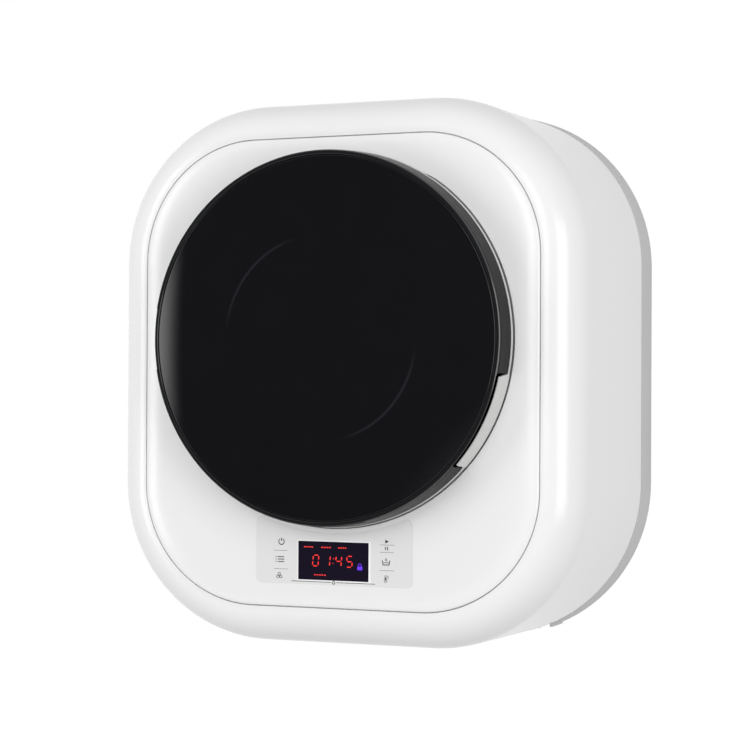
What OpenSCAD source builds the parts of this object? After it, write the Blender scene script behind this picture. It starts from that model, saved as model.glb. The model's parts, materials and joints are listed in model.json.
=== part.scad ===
// Wall mounted washing machine, seen from the front: x is right, y is up,
// z is the distance from the wall. as_hung() turns that view upright.

/* [Casing] */
// Room between the tub's flange and the side of the casing
side_gap = 19; // [12:1:40]
// Room between the tub's flange and the top of the casing
top_gap = 8; // [6:1:30]
// Corner radius of the front panel
panel_corner_r = 129; // [110:1:150]
// How far the panel face stands proud of the seam
panel_crown = 3.5; // [2:0.5:6]
// Width of the rolled edge of the panel
edge_roll = 24; // [12:1:26]
// Width of the seam round the panel
seam_gap = 1; // [0.6:0.2:2]
// How far the shoulder of the housing spreads outwards
shoulder_out = 42; // [36:1:50]
// How deep the shoulder runs back from the seam
shoulder_deep = 46; // [36:1:60]
// Spread of the housing at its back edge
flare_out = 46.5; // [44:0.5:54]
// Depth of the white front housing
housing_d = 228; // [222:1:260]
// Depth of the grey rear cabinet
cabinet_d = 40; // [38:1:60]
// Spread of the rear cabinet at the wall side
cabinet_out = 49; // [47:0.5:56]
// Wall thickness of the moulded casing
wall_t = 3; // [2:0.5:4]

/* [Wall mount] */
// Spacing of the wall bolts across
bolt_span_x = 410; // [380:5:420]
// Spacing of the wall bolts up and down
bolt_span_y = 360; // [340:5:380]
// Radius of the wall bolt holes
bolt_hole_r = 5.5; // [4.5:0.5:7]
// Thickness of the rubber cushions
cushion_t = 8; // [7:1:14]
// Radius of the rubber cushions
cushion_r = 24; // [18:1:26]

/* [Tub and drum] */
// Inner radius of the tub
tub_r = 225; // [222:1:226]
// Wall thickness of the tub
tub_t = 3; // [2.5:0.5:4]
// Distance from the wall to the back of the tub
tub_back = 44; // [44:1:47]
// Distance from the wall to the tub joint
tub_joint = 150; // [120:1:180]
// Distance from the wall to the front of the tub
tub_front_z = 238; // [236:1:240]
// Width of the joint flange round the tub
flange_w = 21; // [18:1:24]
// Step from the door port to the tub mouth
mouth_step = 7; // [6:0.5:11]
// Room between the tub and the drum
drum_gap = 20; // [15:1:30]
// Sheet thickness of the drum
drum_t = 0.8; // [0.6:0.1:1.5]
// Distance from the wall to the back of the drum
drum_back = 90; // [90:1:100]
// Distance from the wall to the front of the drum
drum_front_z = 230; // [222:1:231]
// Step from the tub mouth in to the drum opening
drum_mouth_step = 8; // [5:1:12]
// Radius of a drain hole in the drum
drain_hole_r = 2.5; // [1.5:0.5:3.5]
// Rows of drain holes
drain_rows = 5; // [2:1:8]
// Drain holes in one row
drain_columns = 30; // [6:1:48]
// Height of the drum lifters
lifter_h = 34; // [20:1:45]

/* [Shaft and drive] */
// Radius of the shaft in the rear bearing
shaft_rear_r = 8.5; // [8:0.5:9]
// Radius of the shaft in the front bearing
shaft_front_r = 10; // [10:0.5:11]
// Radius of the drum pulley
pulley_r = 140; // [120:1:150]
// Radius of the motor pulley
motor_pulley_r = 14; // [12:1:18]
// Distance from the wall to the middle of the belt
belt_z = 27; // [26:0.5:28]
// Width of the belt
belt_w = 12; // [8:1:14]
// Thickness of the belt
belt_t = 3.5; // [2.5:0.5:4.5]
// Direction of the motor from the drum axis
motor_angle = -113.2; // [-118:0.1:-110]
// Room between the tub and the motor
motor_gap = 7.5; // [5:0.5:12]
// Radius of the motor case
motor_r = 44; // [36:1:46]
// Length of the motor case
motor_len = 88; // [70:1:100]

/* [Door] */
// Radius of the door ring at its base
door_r = 200; // [198:0.5:204]
// How much the ring draws in towards its rim
ring_draft = 3.5; // [2:0.5:6]
// Distance of the rim from the panel face
door_proud = 36.5; // [36:0.5:42]
// Gap between the panel and the door ring
door_gap = 2.5; // [2.5:0.1:3.5]
// Wall thickness of the ring
ring_t = 2.8; // [2.4:0.2:3.4]
// Thickness of the flange at the foot of the ring
flange_t = 3; // [2:0.5:4]
// Thickness of the door glass
glass_t = 4; // [3:0.5:5]
// Rise of the glass dome
glass_rise = 9; // [6:0.5:12]
// Groove between the glass and the ring
glass_groove = 0.9; // [0.5:0.1:1.5]
// Width of the ring's rim outside the glass groove
rim_w = 4.2; // [3:0.2:5]
// Width of the door outside the glass bowl
band_w = 82; // [80:1:90]
// How much the glass bowl narrows towards its bottom
bowl_taper = 14; // [14:1:22]
// Depth of the glass bowl behind its flange
bowl_d = 64; // [50:1:66]
// Distance of the hinge axis in from the edge of the door
hinge_in = 12; // [11.5:0.5:13]
// Height of the hinge axis above the panel face
hinge_up = 25.5; // [25:0.5:26]
// Radius of the hinge pin
hinge_pin_r = 2; // [1.6:0.1:2.2]
// Half of the hinge height
hinge_half = 29; // [26:1:30]

/* [Handle] */
// First angle of the handle recess, below the horizontal
handle_from = 11; // [10:1:14]
// Last angle of the handle recess
handle_to = 42; // [38:1:46]
// Depth of the finger pocket behind the handle's lip
handle_deep = 11; // [9:1:12]
// How far the handle's lip stays below the rim
grip_drop = 9.8; // [8:0.2:12]
// Thickness of the handle's lip
grip_t = 2; // [1.6:0.2:2.6]

/* [Controls] */
// Width of the control overlay
overlay_w = 180; // [160:2:200]
// Gap between the overlay and the door ring
overlay_gap = 6; // [4:0.5:10]
// Room between the display window and the overlay's upper edge
strip_gap = 8.5; // [7:0.5:14]
// Height of the overlay's lower edge above the bottom seam
overlay_edge = 25; // [25:0.5:28]
// Corner radius of the overlay
overlay_corner_r = 7; // [4:1:10]
// Width of the display window
window_w = 81; // [70:1:90]
// Height of the display window
window_h = 41; // [34:1:42]
// Height of the window's middle above the bottom seam
window_up = 50; // [48:0.5:52]

/* [Water] */
// Outer radius of the inlet thread, G 3/4
inlet_r = 13.2; // [10:0.1:13.5]
// Place of the water inlet, right of the middle
inlet_x = 60; // [55:1:64]
// Outer radius of the drain spigot
drain_r = 10; // [8:0.5:11]
// Place of the drain spigot, right of the middle
drain_x = 140; // [134:1:144]
// Radius of the pump chamber
pump_r = 30; // [26:1:32]
// Width of the pump's foot
pump_foot_w = 40; // [30:2:50]
// Direction of the pump from the drum axis
pump_angle = -68; // [-70:0.5:-66]
// Room between the tub and the pump
pump_gap = 36.5; // [34:0.5:44]

/* [Hidden] */

// Clearances and faceting
fit = 0.3;
slip = 0.05;
press = 0.02;
steps = 10;
$fn = 64;

// Distances from the wall
back_z = cushion_t;
split_z = back_z + cabinet_d;
seam_z = split_z + housing_d;
face_z = seam_z + panel_crown;
ring_z = face_z + door_gap;
rim_z = face_z + door_proud;

// Tub, drum and door radii that follow from each other
tub_out_r = tub_r + tub_t;
flange_r = tub_r + flange_w;
drum_r = tub_r - drum_gap;
bowl_r = door_r - band_w;
bowl_end_r = bowl_r - bowl_taper;
port_r = bowl_r + 15;
mouth_r = port_r + mouth_step;
drum_mouth_r = mouth_r - drum_mouth_step;

// Half sizes of the front panel, seam to seam: round the tub, and as high as the tub's
// upper room, the door and the control strip take together
spread_in = shoulder_out - wall_t;
half_w = flange_r + side_gap - spread_in;
over_axis = flange_r + top_gap - spread_in;
below_axis = door_r + overlay_gap + strip_gap + window_h / 2 + window_up;
half_h = (over_axis + below_axis) / 2;
drum_up = half_h - over_axis;

// Places on the front
rim_o = seam_gap;
ledge_deep = 6;
ledge_w = 14;
recess_r = door_r - 5;
recess_deep = 8;
floor_z = face_z - recess_deep;
port_lip = 13;

// Screw places where the cabinet meets the housing
boss_r = 6;
boss_o = flare_out - wall_t - boss_r + 2;
boss_len = 40;
screw_r = 2;
screw_head_r = 4;
side_screw_y = 70;
casing_spots = concat(
    [for (s = [-1, 1]) [0, s * (half_h + boss_o)]],
    [for (s = [-1, 1], t = [-1, 1]) [s * (half_w + boss_o), t * side_screw_y]]
);
bolt_spots = [for (s = [-1, 1], t = [-1, 1]) [s * bolt_span_x / 2, t * bolt_span_y / 2]];

// Spread of the housing's flank at a distance from the wall
function flank_o(z) = flare_out - (flare_out - shoulder_out) * (z - split_z)
    / (seam_z - shoulder_deep - split_z);

// Connection tray in the bottom of the rear cabinet
tray_from = inlet_x - 30;
tray_to = drain_x + 30;
tray_high = 34;
tray_y = -(half_h + cabinet_out) + tray_high;
spigot_z = back_z + cabinet_d / 2;
spigot_end_y = -(half_h + cabinet_out) + 10;
spigot_from_y = tray_y - 1.5;
neck_step = 0.8;

// Tub and its fixings
flange_h = 8;
seal_r = tub_r + 7;
tub_screw_ring_r = tub_r + 15;
tub_screw_count = 12;
stay_r = 12;
stay_ring_r = tub_r - 21;
stay_spots = [for (a = [36, 144, 216, 324]) [stay_ring_r * cos(a), stay_ring_r * sin(a)]];
hub_r = 34;
hub_from = tub_back - 6;

// Bearings: outer radius, width and place
rear_bearing_r = 20;
rear_bearing_w = 12;
rear_bearing_z = hub_from + 2;
front_bearing_r = 23.5;
front_bearing_w = 14;
front_bearing_z = rear_bearing_z + rear_bearing_w + 2;
seal_w = 7;
seal_z = front_bearing_z + front_bearing_w;
hub_to = seal_z + seal_w + 1;
spider_z = hub_to + 1;
shaft_from = belt_z - 12;

// Belt drive
drum_centre = [0, drum_up];
motor_reach = tub_out_r + motor_gap + motor_r;
motor_at = drum_centre + motor_reach * [cos(motor_angle), sin(motor_angle)];
motor_z = tub_back - 4;
bracket_t = 3;
motor_shaft_r = 5;
rotor_r = motor_r - 14;
air_gap = 0.4;

// Place of the drain pump beside the tub
pump_reach = tub_out_r + pump_gap + pump_r;
pump_x = pump_reach * cos(pump_angle);
pump_down = -drum_up - pump_reach * sin(pump_angle);

// Door
glass_r = door_r - ring_draft - rim_w - glass_groove;
glass_seat_z = rim_z - 2 - glass_t;
groove_z = ring_z + flange_t;
ring_wall_r = door_r - 1.2;
ring_foot_r = ring_wall_r - 2.8;
ring_in_r = ring_foot_r - ring_t;
frame_z = ring_z + 4;
frame_t = 3;
frame_r = ring_in_r - fit;
hinge_out = door_r - hinge_in;
hinge_z = face_z + hinge_up;
knuckle_r = hinge_pin_r + 2;
arm_half = 16;
bowl_flange_w = 10;
bowl_flange_z = frame_z + frame_t + fit;
bowl_glass_t = 4;
bowl_slope = (bowl_r - bowl_end_r) / (bowl_d - 11);
lip_z = floor_z - 9;
lip_r = bowl_r - (bowl_flange_z - lip_z) * bowl_slope + 0.7;

// Handle: slack between lip and ring as an angle, pocket, and top of the lip
handle_slack = fit / ring_wall_r * 180 / PI;
pocket_r = ring_foot_r - handle_deep;
pocket_t = 2;
pocket_floor_z = groove_z + 2.5;
grip_top_z = rim_z - 1 - grip_drop;

// Latch hook on the right of the door
hook_x = door_r - 24;
hook_z = frame_z + 12;
hook_w = 10;
hook_pin_r = 2;
strike_t = 5;
hook_rise = 2.2;
lock_top = floor_z - wall_t - fit;

// Controls
overlay_from = -half_h + overlay_edge;
overlay_t = 1;
overlay_sunk = 0.8;
overlay_cut_r = door_r + overlay_gap;
window_y = -half_h + window_up;
window_t = 1.6;
board_z = face_z - 15;

// Stands the front view up: x right, z up, the wall at y = 0
module as_hung() { rotate([90, 0, 0]) children(); }

// Puts children on the drum axis
module on_drum() { translate([0, drum_up, 0]) children(); }

// Sweeps a profile of [offset from the seam, distance from the wall] round the panel
module around_panel(profile) {
    cx = half_w - panel_corner_r;
    cy = half_h - panel_corner_r;
    for (sx = [0, 1], sy = [0, 1])
        mirror([sx, 0, 0]) mirror([0, sy, 0])
            translate([cx, cy, 0])
                rotate_extrude(angle = 90, $fn = 96) translate([panel_corner_r, 0]) polygon(profile);
    for (s = [0, 1])
        mirror([0, s, 0]) translate([-cx, cy, 0])
            rotate([90, 0, 90]) linear_extrude(2 * cx) translate([panel_corner_r, 0]) polygon(profile);
    for (s = [0, 1])
        mirror([s, 0, 0]) translate([cx, cy, 0])
            rotate([90, 0, 0]) linear_extrude(2 * cy) translate([panel_corner_r, 0]) polygon(profile);
}

// Flat plate with the panel's outline, moved outwards by o
module panel_plate(o, z0, z1) {
    cx = half_w - panel_corner_r;
    cy = half_h - panel_corner_r;
    r = panel_corner_r + o;
    for (sx = [0, 1], sy = [0, 1])
        mirror([sx, 0, 0]) mirror([0, sy, 0])
            translate([cx, cy, 0])
                rotate_extrude(angle = 90, $fn = 96) translate([0, z0]) square([r, z1 - z0]);
    translate([-cx - r, -cy, z0]) cube([2 * (cx + r), 2 * cy, z1 - z0]);
    translate([-cx, -cy - r, z0]) cube([2 * cx, 2 * (cy + r), z1 - z0]);
}

// Plain tube, or a pin where the inner radius is 0
module ring(r_out, r_in, z0, z1) {
    translate([0, 0, z0]) difference() {
        cylinder(r = r_out, h = z1 - z0);
        if (r_in > 0) translate([0, 0, -1]) cylinder(r = r_in, h = z1 - z0 + 2);
    }
}

// Rounds the corners of a route: each inner point becomes a short curve
function rounded(route, r, n = 3) = [
    for (i = [0 : len(route) - 1])
        each i == 0 || i == len(route) - 1 ? [route[i]] :
            let (a = route[i - 1] - route[i], b = route[i + 1] - route[i],
                 cut = min(r, norm(a) * 0.45, norm(b) * 0.45),
                 p = route[i] + a * cut / norm(a), q = route[i] + b * cut / norm(b))
            [for (k = [0 : n]) let (t = k / n)
                p * pow(1 - t, 2) + route[i] * 2 * t * (1 - t) + q * pow(t, 2)]
];
function unit(v) = v / norm(v);
function along(p, i) = unit(p[min(i + 1, len(p) - 1)] - p[max(i - 1, 0)]);
function side(p, i) = i == 0
    ? unit(cross(along(p, 0), abs(along(p, 0)[0]) < 0.8 ? [1, 0, 0] : [0, 1, 0]))
    : let (s = side(p, i - 1), t = along(p, i)) unit(s - t * (s * t));
function circle_at(p, i, r, sides) = let (u = side(p, i), v = cross(along(p, i), u))
    [for (k = [0 : sides - 1]) p[i] + (u * cos(360 * k / sides) + v * sin(360 * k / sides)) * r];

// Hose through a route, hollow where bore is over 0; bore is its clear inner radius
module hose(route, r, bore, sides = 10) {
    p = rounded(route, 3 * r);
    n = len(p);
    out = [for (i = [0 : n - 1]) each circle_at(p, i, r, sides)];
    in = [for (i = [0 : n - 1]) each circle_at(p, i, bore / cos(180 / sides), sides)];
    skin = [for (i = [0 : n - 2], k = [0 : sides - 1])
        let (a = i * sides + k, b = i * sides + (k + 1) % sides)
        each [[a, a + sides, b], [b, a + sides, b + sides]]];
    m = n * sides;
    ends = bore > 0
        ? [for (k = [0 : sides - 1], e = [0, n - 1])
            let (a = e * sides + k, b = e * sides + (k + 1) % sides)
            each e == 0 ? [[a, b, m + a], [b, m + b, m + a]] : [[b, a, m + b], [a, m + a, m + b]]]
        : [[for (k = [0 : sides - 1]) k], [for (k = [sides - 1 : -1 : 0]) (n - 1) * sides + k]];
    bore_skin = [for (f = skin) [f[2] + m, f[1] + m, f[0] + m]];
    if (bore > 0) polyhedron(concat(out, in), concat(skin, bore_skin, ends));
    else polyhedron(out, concat(skin, ends));
}

// Pan head screw pointing away from the viewer's side, head towards the wall
module rear_screw(head_r, r, head_h, z_head, z_tip) {
    ring(head_r, 0, z_head - head_h, z_head);
    ring(r, 0, z_head, z_tip);
}

// Grey moulded rear cabinet: side wall, back wall, bolt holes and connection tray
module rear_cabinet() {
    edge = 6;
    tongue_o = flare_out - wall_t - fit;
    profile = [
        [flare_out + 0.8, split_z], [cabinet_out, back_z + edge],
        [cabinet_out - edge * 0.3, back_z + edge * 0.3], [cabinet_out - edge, back_z],
        [0, back_z], [0, back_z + wall_t], [cabinet_out - edge, back_z + wall_t],
        [cabinet_out - wall_t, back_z + edge],
        [tongue_o - 2.4, split_z], [tongue_o - 2.4, split_z + 7],
        [tongue_o, split_z + 7], [tongue_o, split_z]
    ];
    tray_w = tray_to - tray_from;
    color("silver") as_hung() difference() {
        union() {
            around_panel(profile);
            panel_plate(1, back_z, back_z + wall_t);
            for (p = casing_spots) translate(p) ring(boss_r, 0, back_z, split_z - 0.2);
            for (p = bolt_spots) translate(p) ring(cushion_r - 6, 0, back_z, back_z + wall_t + 3);
            translate([tray_from, tray_y, back_z])
                cube([tray_w, wall_t, cabinet_d]);
            for (x = [tray_from, tray_to - wall_t])
                translate([x, tray_y - tray_high + 8, back_z]) cube([wall_t, tray_high - 6, cabinet_d]);
        }
        for (p = casing_spots) translate(p) {
            ring(screw_r + 0.3, 0, back_z - 1, split_z + 12);
            ring(screw_head_r + 0.6, 0, back_z - 1, split_z - 8);
            ring(boss_r + 0.8, 0, split_z, split_z + 12);
        }
        for (p = bolt_spots) translate(p) ring(bolt_hole_r, 0, back_z - 1, back_z + wall_t + 8);
        on_drum() for (p = stay_spots) translate(p) ring(4.4, 0, back_z - 1, back_z + wall_t + 1);
        translate([tray_from + wall_t, tray_y - tray_high - 10, back_z - 1])
            cube([tray_w - 2 * wall_t, tray_high + 10, cabinet_d + 1.2]);
        for (q = [[inlet_x, inlet_r], [drain_x, drain_r]])
            translate([q[0], tray_y + wall_t + 1, spigot_z])
                rotate([90, 0, 0]) cylinder(r = q[1] + fit, h = wall_t + 2);
        difference() {
            translate([tray_from - 1, tray_y - tray_high - 20, back_z - 1])
                cube([tray_w + 2, tray_high, cabinet_d + 12]);
            panel_plate(flare_out - 3.4, back_z - 1, split_z + 12);
        }
    }
}

// White front housing: flat rim, domed shoulder, straight flare and a ledge for the panel
module front_housing() {
    outer = [for (i = [0 : steps]) let (t = 90 * i / steps)
        [rim_o + (shoulder_out - rim_o) * sin(t), seam_z - shoulder_deep * (1 - cos(t))]];
    in_z = seam_z - ledge_deep - wall_t;
    inner = [for (i = [steps : -1 : 0]) let (t = 90 * i / steps)
        [rim_o + (shoulder_out - wall_t - rim_o) * sin(t),
         in_z - (shoulder_deep - ledge_deep - wall_t) * (1 - cos(t))]];
    profile = concat(
        outer, [[flare_out, split_z + 0.2], [flare_out - wall_t, split_z + 0.2]], inner,
        [[-ledge_w, in_z], [-ledge_w, in_z + wall_t], [rim_o, in_z + wall_t]]
    );
    color("white") as_hung() difference() {
        union() {
            around_panel(profile);
            for (p = casing_spots) translate(p) ring(boss_r, 0, split_z + 0.2, split_z + boss_len);
        }
        for (p = casing_spots) translate(p) ring(screw_r + slip, 0, split_z - 1, split_z + boss_len - 6);
    }
}

// Front panel: rolled edge, dished recess behind the door, port lip and control pocket
module front_panel() {
    edge_o = -seam_gap / 2 + 0.5;
    curve = [for (i = [0 : steps]) let (t = 90 * i / steps)
        [-edge_roll + (edge_roll + edge_o) * sin(t), face_z - (panel_crown + 0.5) * (1 - cos(t))]];
    foot_z = seam_z - ledge_deep + fit;
    edge = concat(curve, [
        [edge_o, foot_z], [edge_o - wall_t, foot_z],
        [edge_o - wall_t, face_z - panel_crown - 1.5], [-edge_roll, face_z - wall_t]
    ]);
    dish = [
        [recess_r + wall_t, face_z], [recess_r, face_z], [recess_r - 2, floor_z],
        [port_r, floor_z], [port_r, floor_z - port_lip], [port_r + wall_t, floor_z - port_lip],
        [port_r + wall_t, floor_z - wall_t], [recess_r + wall_t - 2, floor_z - wall_t],
        [recess_r + wall_t, face_z - wall_t]
    ];
    color("white") as_hung() difference() {
        union() {
            around_panel(edge);
            difference() {
                panel_plate(-edge_roll + 0.5, face_z - wall_t, face_z);
                on_drum() ring(recess_r + wall_t - 0.5, 0, face_z - wall_t - 1, face_z + 1);
            }
            on_drum() rotate_extrude($fn = 128) polygon(dish);
            for (s = [-1, 1], x = [-1, 1]) translate([s * 62, window_y + x * 17, 0])
                ring(4, 0, board_z + 1.8, face_z - wall_t + 1);
            on_drum() for (t = [-1, 1])
                translate([hook_x + 1, t * 30, 0]) ring(5, 0, lock_top - 6, floor_z - wall_t + 1);
        }
        translate([0, 0, face_z - overlay_sunk]) linear_extrude(2) offset_overlay(fit);
        translate([-window_w / 2 + 2, window_y - window_h / 2 + 2, face_z - wall_t - 1])
            cube([window_w - 4, window_h - 4, wall_t + 2]);
        on_drum() translate([hook_x - 9, -hook_w / 2 - 3, floor_z - wall_t - 8])
            cube([21, hook_w + 6, wall_t + 16]);
        on_drum() translate([-cup_w / 2 - 1.5, cup_y - cup_h / 2 - 1.5, floor_z - wall_t - 1])
            cube([cup_w + 3, cup_h + 3, wall_t + 2]);
        on_drum() for (t = [-1, 1]) translate([-hinge_out + 26, t * 16, 0])
            ring(2.2, 0, floor_z - wall_t - 1, floor_z + 1);
    }
}

// Outline of the control overlay, grown by g: a strip with a concave top edge
module offset_overlay(g) {
    r = overlay_corner_r;
    difference() {
        offset(r = g) offset(r = r) offset(delta = -r) difference() {
            translate([-overlay_w / 2, overlay_from]) square([overlay_w, overlay_high]);
            translate([0, drum_up]) circle(r = overlay_cut_r, $fn = 128);
        }
    }
}
overlay_high = drum_up - overlay_from - sqrt(pow(overlay_cut_r, 2) - pow(overlay_w / 2, 2)) * 0.985;

// Light grey control overlay with the display window's opening
module control_overlay() {
    color("gainsboro") as_hung() difference() {
        translate([0, 0, face_z - overlay_sunk]) linear_extrude(overlay_t) offset_overlay(0);
        translate([-window_w / 2 - 0.2, window_y - window_h / 2 - 0.2, face_z - 2])
            cube([window_w + 0.4, window_h + 0.4, 4]);
    }
}

// Smoked display window in the overlay
module display_window() {
    color("midnightblue") as_hung()
        translate([-window_w / 2, window_y - window_h / 2, face_z - overlay_sunk])
            cube([window_w, window_h, overlay_t - 0.1]);
}

// Control board: circuit board, display block and six touch springs
module control_board() {
    color("darkgreen") as_hung() {
        difference() {
            translate([-75, window_y - 25, board_z]) cube([150, 50, 1.6]);
            for (s = [-1, 1], t = [-1, 1]) translate([s * 62, window_y + t * 17, 0])
                ring(1.6, 0, board_z - 1, board_z + 3);
        }
        translate([-window_w / 2 + 6, window_y - window_h / 2 + 6, board_z + 1.6])
            cube([window_w - 12, window_h - 12, face_z - overlay_sunk - 0.5 - board_z - 1.6]);
        for (s = [-1, 1], t = [-1, 0, 1]) translate([s * 53, window_y + t * 15, 0])
            ring(3, 0, board_z + 1.6, face_z - wall_t - fit);
    }
}

// Motor controller: finned box on the back wall, above the drum pulley
module motor_controller() {
    low = drum_up + pulley_r + 14;
    color("dimgray") as_hung() {
        translate([-65, low, back_z + wall_t]) cube([130, 66, 22]);
        for (i = [0 : 8]) translate([-60 + i * 14, low + 4, back_z + wall_t + 22]) cube([4, 58, 6]);
    }
}

// Four ribbed rubber cushions between the cabinet and the wall
module wall_cushions() {
    color("dimgray") as_hung() for (p = bolt_spots) translate(p) rotate_extrude() polygon([
        [bolt_hole_r, 0], [cushion_r - 4, 0], [cushion_r, back_z * 0.3], [cushion_r - 2.5, back_z * 0.5],
        [cushion_r, back_z * 0.7], [cushion_r - 3, back_z], [bolt_hole_r, back_z]
    ]);
}

// Four cupped steel washers under the wall nuts
module mount_washers() {
    top = back_z + wall_t + 3;
    color("lightgray") as_hung() for (p = bolt_spots) translate(p) rotate_extrude() polygon([
        [bolt_hole_r, top], [cushion_r - 8, top], [cushion_r - 8, top + 1.5],
        [cushion_r - 11, top + 3.5], [bolt_hole_r, top + 3.5]
    ]);
}

// Screws from the cabinet into the housing bosses
module casing_screws() {
    color("silver") as_hung() for (p = casing_spots) translate(p)
        rear_screw(screw_head_r, screw_r, 3, split_z - 8, split_z + boss_len - 8);
}

// Rear half of the tub: back wall, ribs, bearing hub and stays
module tub_rear() {
    profile = [
        [hub_r - 1, tub_back], [tub_out_r - 6, tub_back], [tub_out_r, tub_back + 6],
        [tub_out_r, tub_joint - flange_h], [flange_r, tub_joint - flange_h], [flange_r, tub_joint],
        [seal_r + 2.2, tub_joint], [seal_r + 2.2, tub_joint - 4], [seal_r - 2.2, tub_joint - 4],
        [seal_r - 2.2, tub_joint], [tub_r, tub_joint], [tub_r, tub_back + 8],
        [tub_r - 5, tub_back + tub_t], [hub_r - 1, tub_back + tub_t]
    ];
    color("whitesmoke") as_hung() on_drum() difference() {
        union() {
            rotate_extrude($fn = 128) polygon(profile);
            ring(hub_r, 0, hub_from, hub_to);
            for (a = [0 : 30 : 330]) rotate(a) translate([hub_r - 2, -1.5, tub_back - 3])
                cube([tub_r - hub_r - 8, 3, 3.5]);
            for (p = stay_spots) translate(p) ring(stay_r, 0, back_z + wall_t, tub_back + 1);
            for (p = bracket_spots) translate(p - drum_centre) ring(9, 0, motor_z, tub_back + 2);
            translate([sump_x, 0, sump_z]) rotate([90, 0, 0]) ring(9.2, 0, sump_low - 4, sump_low + 13);
        }
        ring(rear_bearing_r + press, 0, rear_bearing_z - 5, rear_bearing_z + rear_bearing_w);
        ring(shaft_front_r + 3, 0, rear_bearing_z, hub_to + 1);
        ring(front_bearing_r + press, 0, front_bearing_z, seal_z + 0.01);
        ring(front_bearing_r + press, 0, seal_z, hub_to + 1);
        for (p = stay_spots) translate(p) ring(4 + slip, 0, back_z, tub_back - 6);
        for (i = [0 : tub_screw_count - 1]) rotate((i + 0.5) * 360 / tub_screw_count)
            translate([tub_screw_ring_r, 0, 0]) ring(2 + slip, 0, tub_joint - flange_h - 1, tub_joint + 1);
        heater_slot(fit);
        rotate(probe_angle) translate([heater_ring_r, 0, 0]) ring(4 + fit, 0, tub_back - 2, tub_back + 20);
        translate([sump_x, 0, sump_z]) rotate([90, 0, 0]) ring(6.8, 0, 0, tub_out_r + 30);
        for (p = bracket_spots) translate(p - drum_centre) ring(2 + slip, 0, motor_z - 1, tub_back + 1.2);
        rotate(trap_angle) translate([0, 0, trap_z]) rotate([0, 90, 0]) ring(2.5, 0, tub_r - 10, tub_r + 30);
    }
}

// Places of what passes through the tub
heater_ring_r = tub_r - 10;
probe_angle = -78;
sump_x = 62;
sump_z = 110;
sump_low = sqrt(pow(tub_out_r, 2) - pow(sump_x, 2));
trap_angle = 215;
trap_z = 70;
cup_w = 64;
cup_h = 26;
cup_y = -(mouth_r + tub_t + 8 + cup_h / 2 + 4);

// Slot of the heater plug in the tub's back wall, grown by g
module heater_slot(g) {
    translate([-34 - g, -heater_ring_r - 7 - g, tub_back - 4]) cube([68 + 2 * g, 14 + 2 * g, tub_t + 6]);
}

// Front half of the tub with the mouth
module tub_front() {
    profile = [
        [tub_r, tub_joint], [flange_r, tub_joint], [flange_r, tub_joint + flange_h],
        [tub_out_r, tub_joint + flange_h], [tub_out_r, tub_front_z - 12], [tub_out_r - 10, tub_front_z],
        [mouth_r + tub_t, tub_front_z], [mouth_r + tub_t, tub_front_z + 12], [mouth_r, tub_front_z + 12],
        [mouth_r, tub_front_z - tub_t], [tub_r - 9, tub_front_z - tub_t], [tub_r, tub_front_z - 14]
    ];
    color("whitesmoke") as_hung() on_drum() difference() {
        rotate_extrude($fn = 128) polygon(profile);
        for (i = [0 : tub_screw_count - 1]) rotate((i + 0.5) * 360 / tub_screw_count)
            translate([tub_screw_ring_r, 0, 0]) ring(2.3, 0, tub_joint - 1, tub_joint + flange_h + 1);
        translate([0, cup_y, 0]) ring(6 + fit, 0, tub_front_z - tub_t - 1, tub_front_z + 1);
    }
}

// Rubber ring in the groove of the tub joint
module tub_seal_ring() {
    color("black") as_hung() on_drum() translate([0, 0, tub_joint - 2])
        rotate_extrude($fn = 128) translate([seal_r, 0]) circle(r = 1.95, $fn = 24);
}

// Screws round the tub joint
module tub_screws() {
    color("silver") as_hung() on_drum() for (i = [0 : tub_screw_count - 1])
        rotate((i + 0.5) * 360 / tub_screw_count) translate([tub_screw_ring_r, 0, 0]) {
            ring(4, 0, tub_joint + flange_h, tub_joint + flange_h + 3);
            ring(2, 0, tub_joint - flange_h, tub_joint + flange_h + 1);
        }
}

// Hexagon bolts from the cabinet into the tub stays
module tub_bolts() {
    color("silver") as_hung() on_drum() for (p = stay_spots) translate(p) {
        translate([0, 0, back_z - 5]) cylinder(r = 7, h = 5, $fn = 6);
        ring(4, 0, back_z - 1, tub_back - 8);
    }
}

// Rubber bellows between the tub mouth and the port, with the lip on the glass bowl
module door_gasket() {
    tub_lip = tub_front_z + 12;
    panel_lip = floor_z - port_lip;
    out_r = mouth_r + tub_t;
    profile = [
        [out_r + fit, tub_front_z + 1], [out_r + 4, tub_front_z + 1], [out_r + 4, tub_lip + 1.5],
        [port_r + wall_t + 3.5, tub_lip + 3.6], [port_r + wall_t + 3.5, panel_lip + 6],
        [port_r + wall_t + fit, panel_lip + 6], [port_r + wall_t + fit, panel_lip - fit],
        [port_r - fit, panel_lip - fit], [port_r - fit, floor_z - 5], [port_r - 7, floor_z - 4.4],
        [lip_r + 2.4, lip_z + 2], [lip_r, lip_z], [lip_r + 2, lip_z - 1.6], [port_r - 8, floor_z - 8.6],
        [port_r - 3.7, floor_z - 10.5], [port_r - 3.7, tub_lip + 2.2], [mouth_r - 3.5, tub_lip + fit],
        [out_r + fit, tub_lip + fit]
    ];
    color("gray") as_hung() on_drum() rotate_extrude($fn = 128) polygon(profile);
}

// Wire clamp round the gasket's collar on the tub mouth
module gasket_clamp() {
    color("silver") as_hung() on_drum() translate([0, 0, tub_front_z + 7])
        rotate_extrude($fn = 128) translate([mouth_r + tub_t + 5.6, 0]) circle(r = 1.5, $fn = 16);
}

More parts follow.
